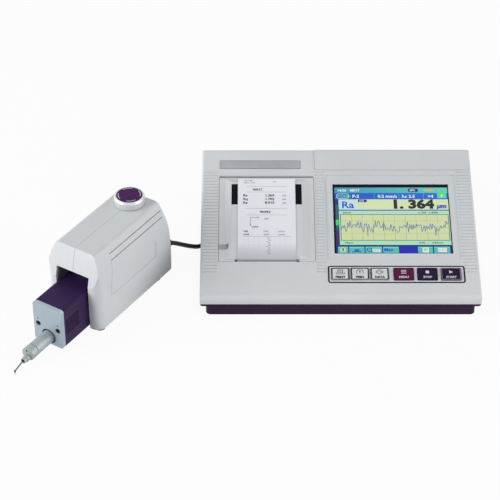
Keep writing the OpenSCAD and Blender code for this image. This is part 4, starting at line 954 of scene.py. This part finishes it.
for name, low, high in (("upper_line", 77.2, 77.75), ("lower_line", 70.6, 71.2)):
    shoulder = shown(grid_mesh(name, shoulder_line(low, high), LINE_COLUMNS, flip=True), inks["black_ink"])
    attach(shoulder, "base")
print("shoulder lines", LINE_Y)

# %% [markdown]
# Below the lines the side has a shallow panel, moulded with it. Its front edge catches less light than the skin, so
# a thin grey strip of painted shade follows it up the side, upright first and then in on the shoulder's circle.

# %% Painted shade along the front edge of the side panel
EDGE_LOW, EDGE_HIGH, EDGE_WIDE = (20.0, 33.0), (26.8, 70.6), 0.4
edge_z = np.linspace(EDGE_LOW[1], EDGE_HIGH[1], 40)
edge_y = np.interp(edge_z, (EDGE_LOW[1], EDGE_HIGH[1]), (EDGE_LOW[0], EDGE_HIGH[0]))
edge_x = SHOULDER_MID + np.sqrt((SHOULDER_R + SKIN) ** 2 - np.maximum(edge_z - SHOULDER_Z, 0) ** 2)
edge_points = np.stack([np.c_[edge_x, edge_y + side, edge_z] for side in (-EDGE_WIDE, 0)], 1)
# The strip is painted shade, in the grey kept for it among the inks
panel_edge_shade = shown(grid_mesh("panel_edge_shade", placed(edge_points.reshape(-1, 3), unit_frame), 2), inks["painted_edge_shade"])
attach(panel_edge_shade, "base")
print("panel edge points", len(edge_z))

# %% [markdown]
# The bare name strip is brushed metal with a thin dark line along both long edges, printed before it is stuck on.

# %% Edges of the name strip
NAME_X, NAME_T, NAME_N, REAR_WIDE, FRONT_WIDE = (18.3, 100.7), (164.6, 175.4), 0.3, 0.45, 0.3
marks("name_strip_edges", [bar(*NAME_X, NAME_T[1] - REAR_WIDE, NAME_T[1]),
                           bar(*NAME_X, NAME_T[0], NAME_T[0] + FRONT_WIDE)],
      NAME_N + LAYER, inks["grey_ink"], "base")
print("name strip edges", NAME_X)

# %% [markdown]
# The knob's cap has four thin pale arcs near its rim, which show that it turns. Each is a strip between two circles.
# They ride on the knob.

# %% Arcs on the knob's cap
CAP_MID, CAP_TOP, ARC_R, ARC_WIDE = (0.0, 97.0), 95.5, 10.9, 0.7
ARC_STARTS, ARC_SPAN, ARC_POINTS = (20, 110, 200, 290), 50, 14
arcs = []
for first in ARC_STARTS:
    a = np.radians(np.linspace(first, first + ARC_SPAN, ARC_POINTS))
    arcs.append(stroke(np.c_[CAP_MID[0] + ARC_R * np.cos(a), CAP_MID[1] + ARC_R * np.sin(a)], ARC_WIDE))
marks("cap_arcs", arcs, CAP_TOP + LAYER, inks["pale_ink"], "knob", unit_frame)
print("arcs", len(arcs))
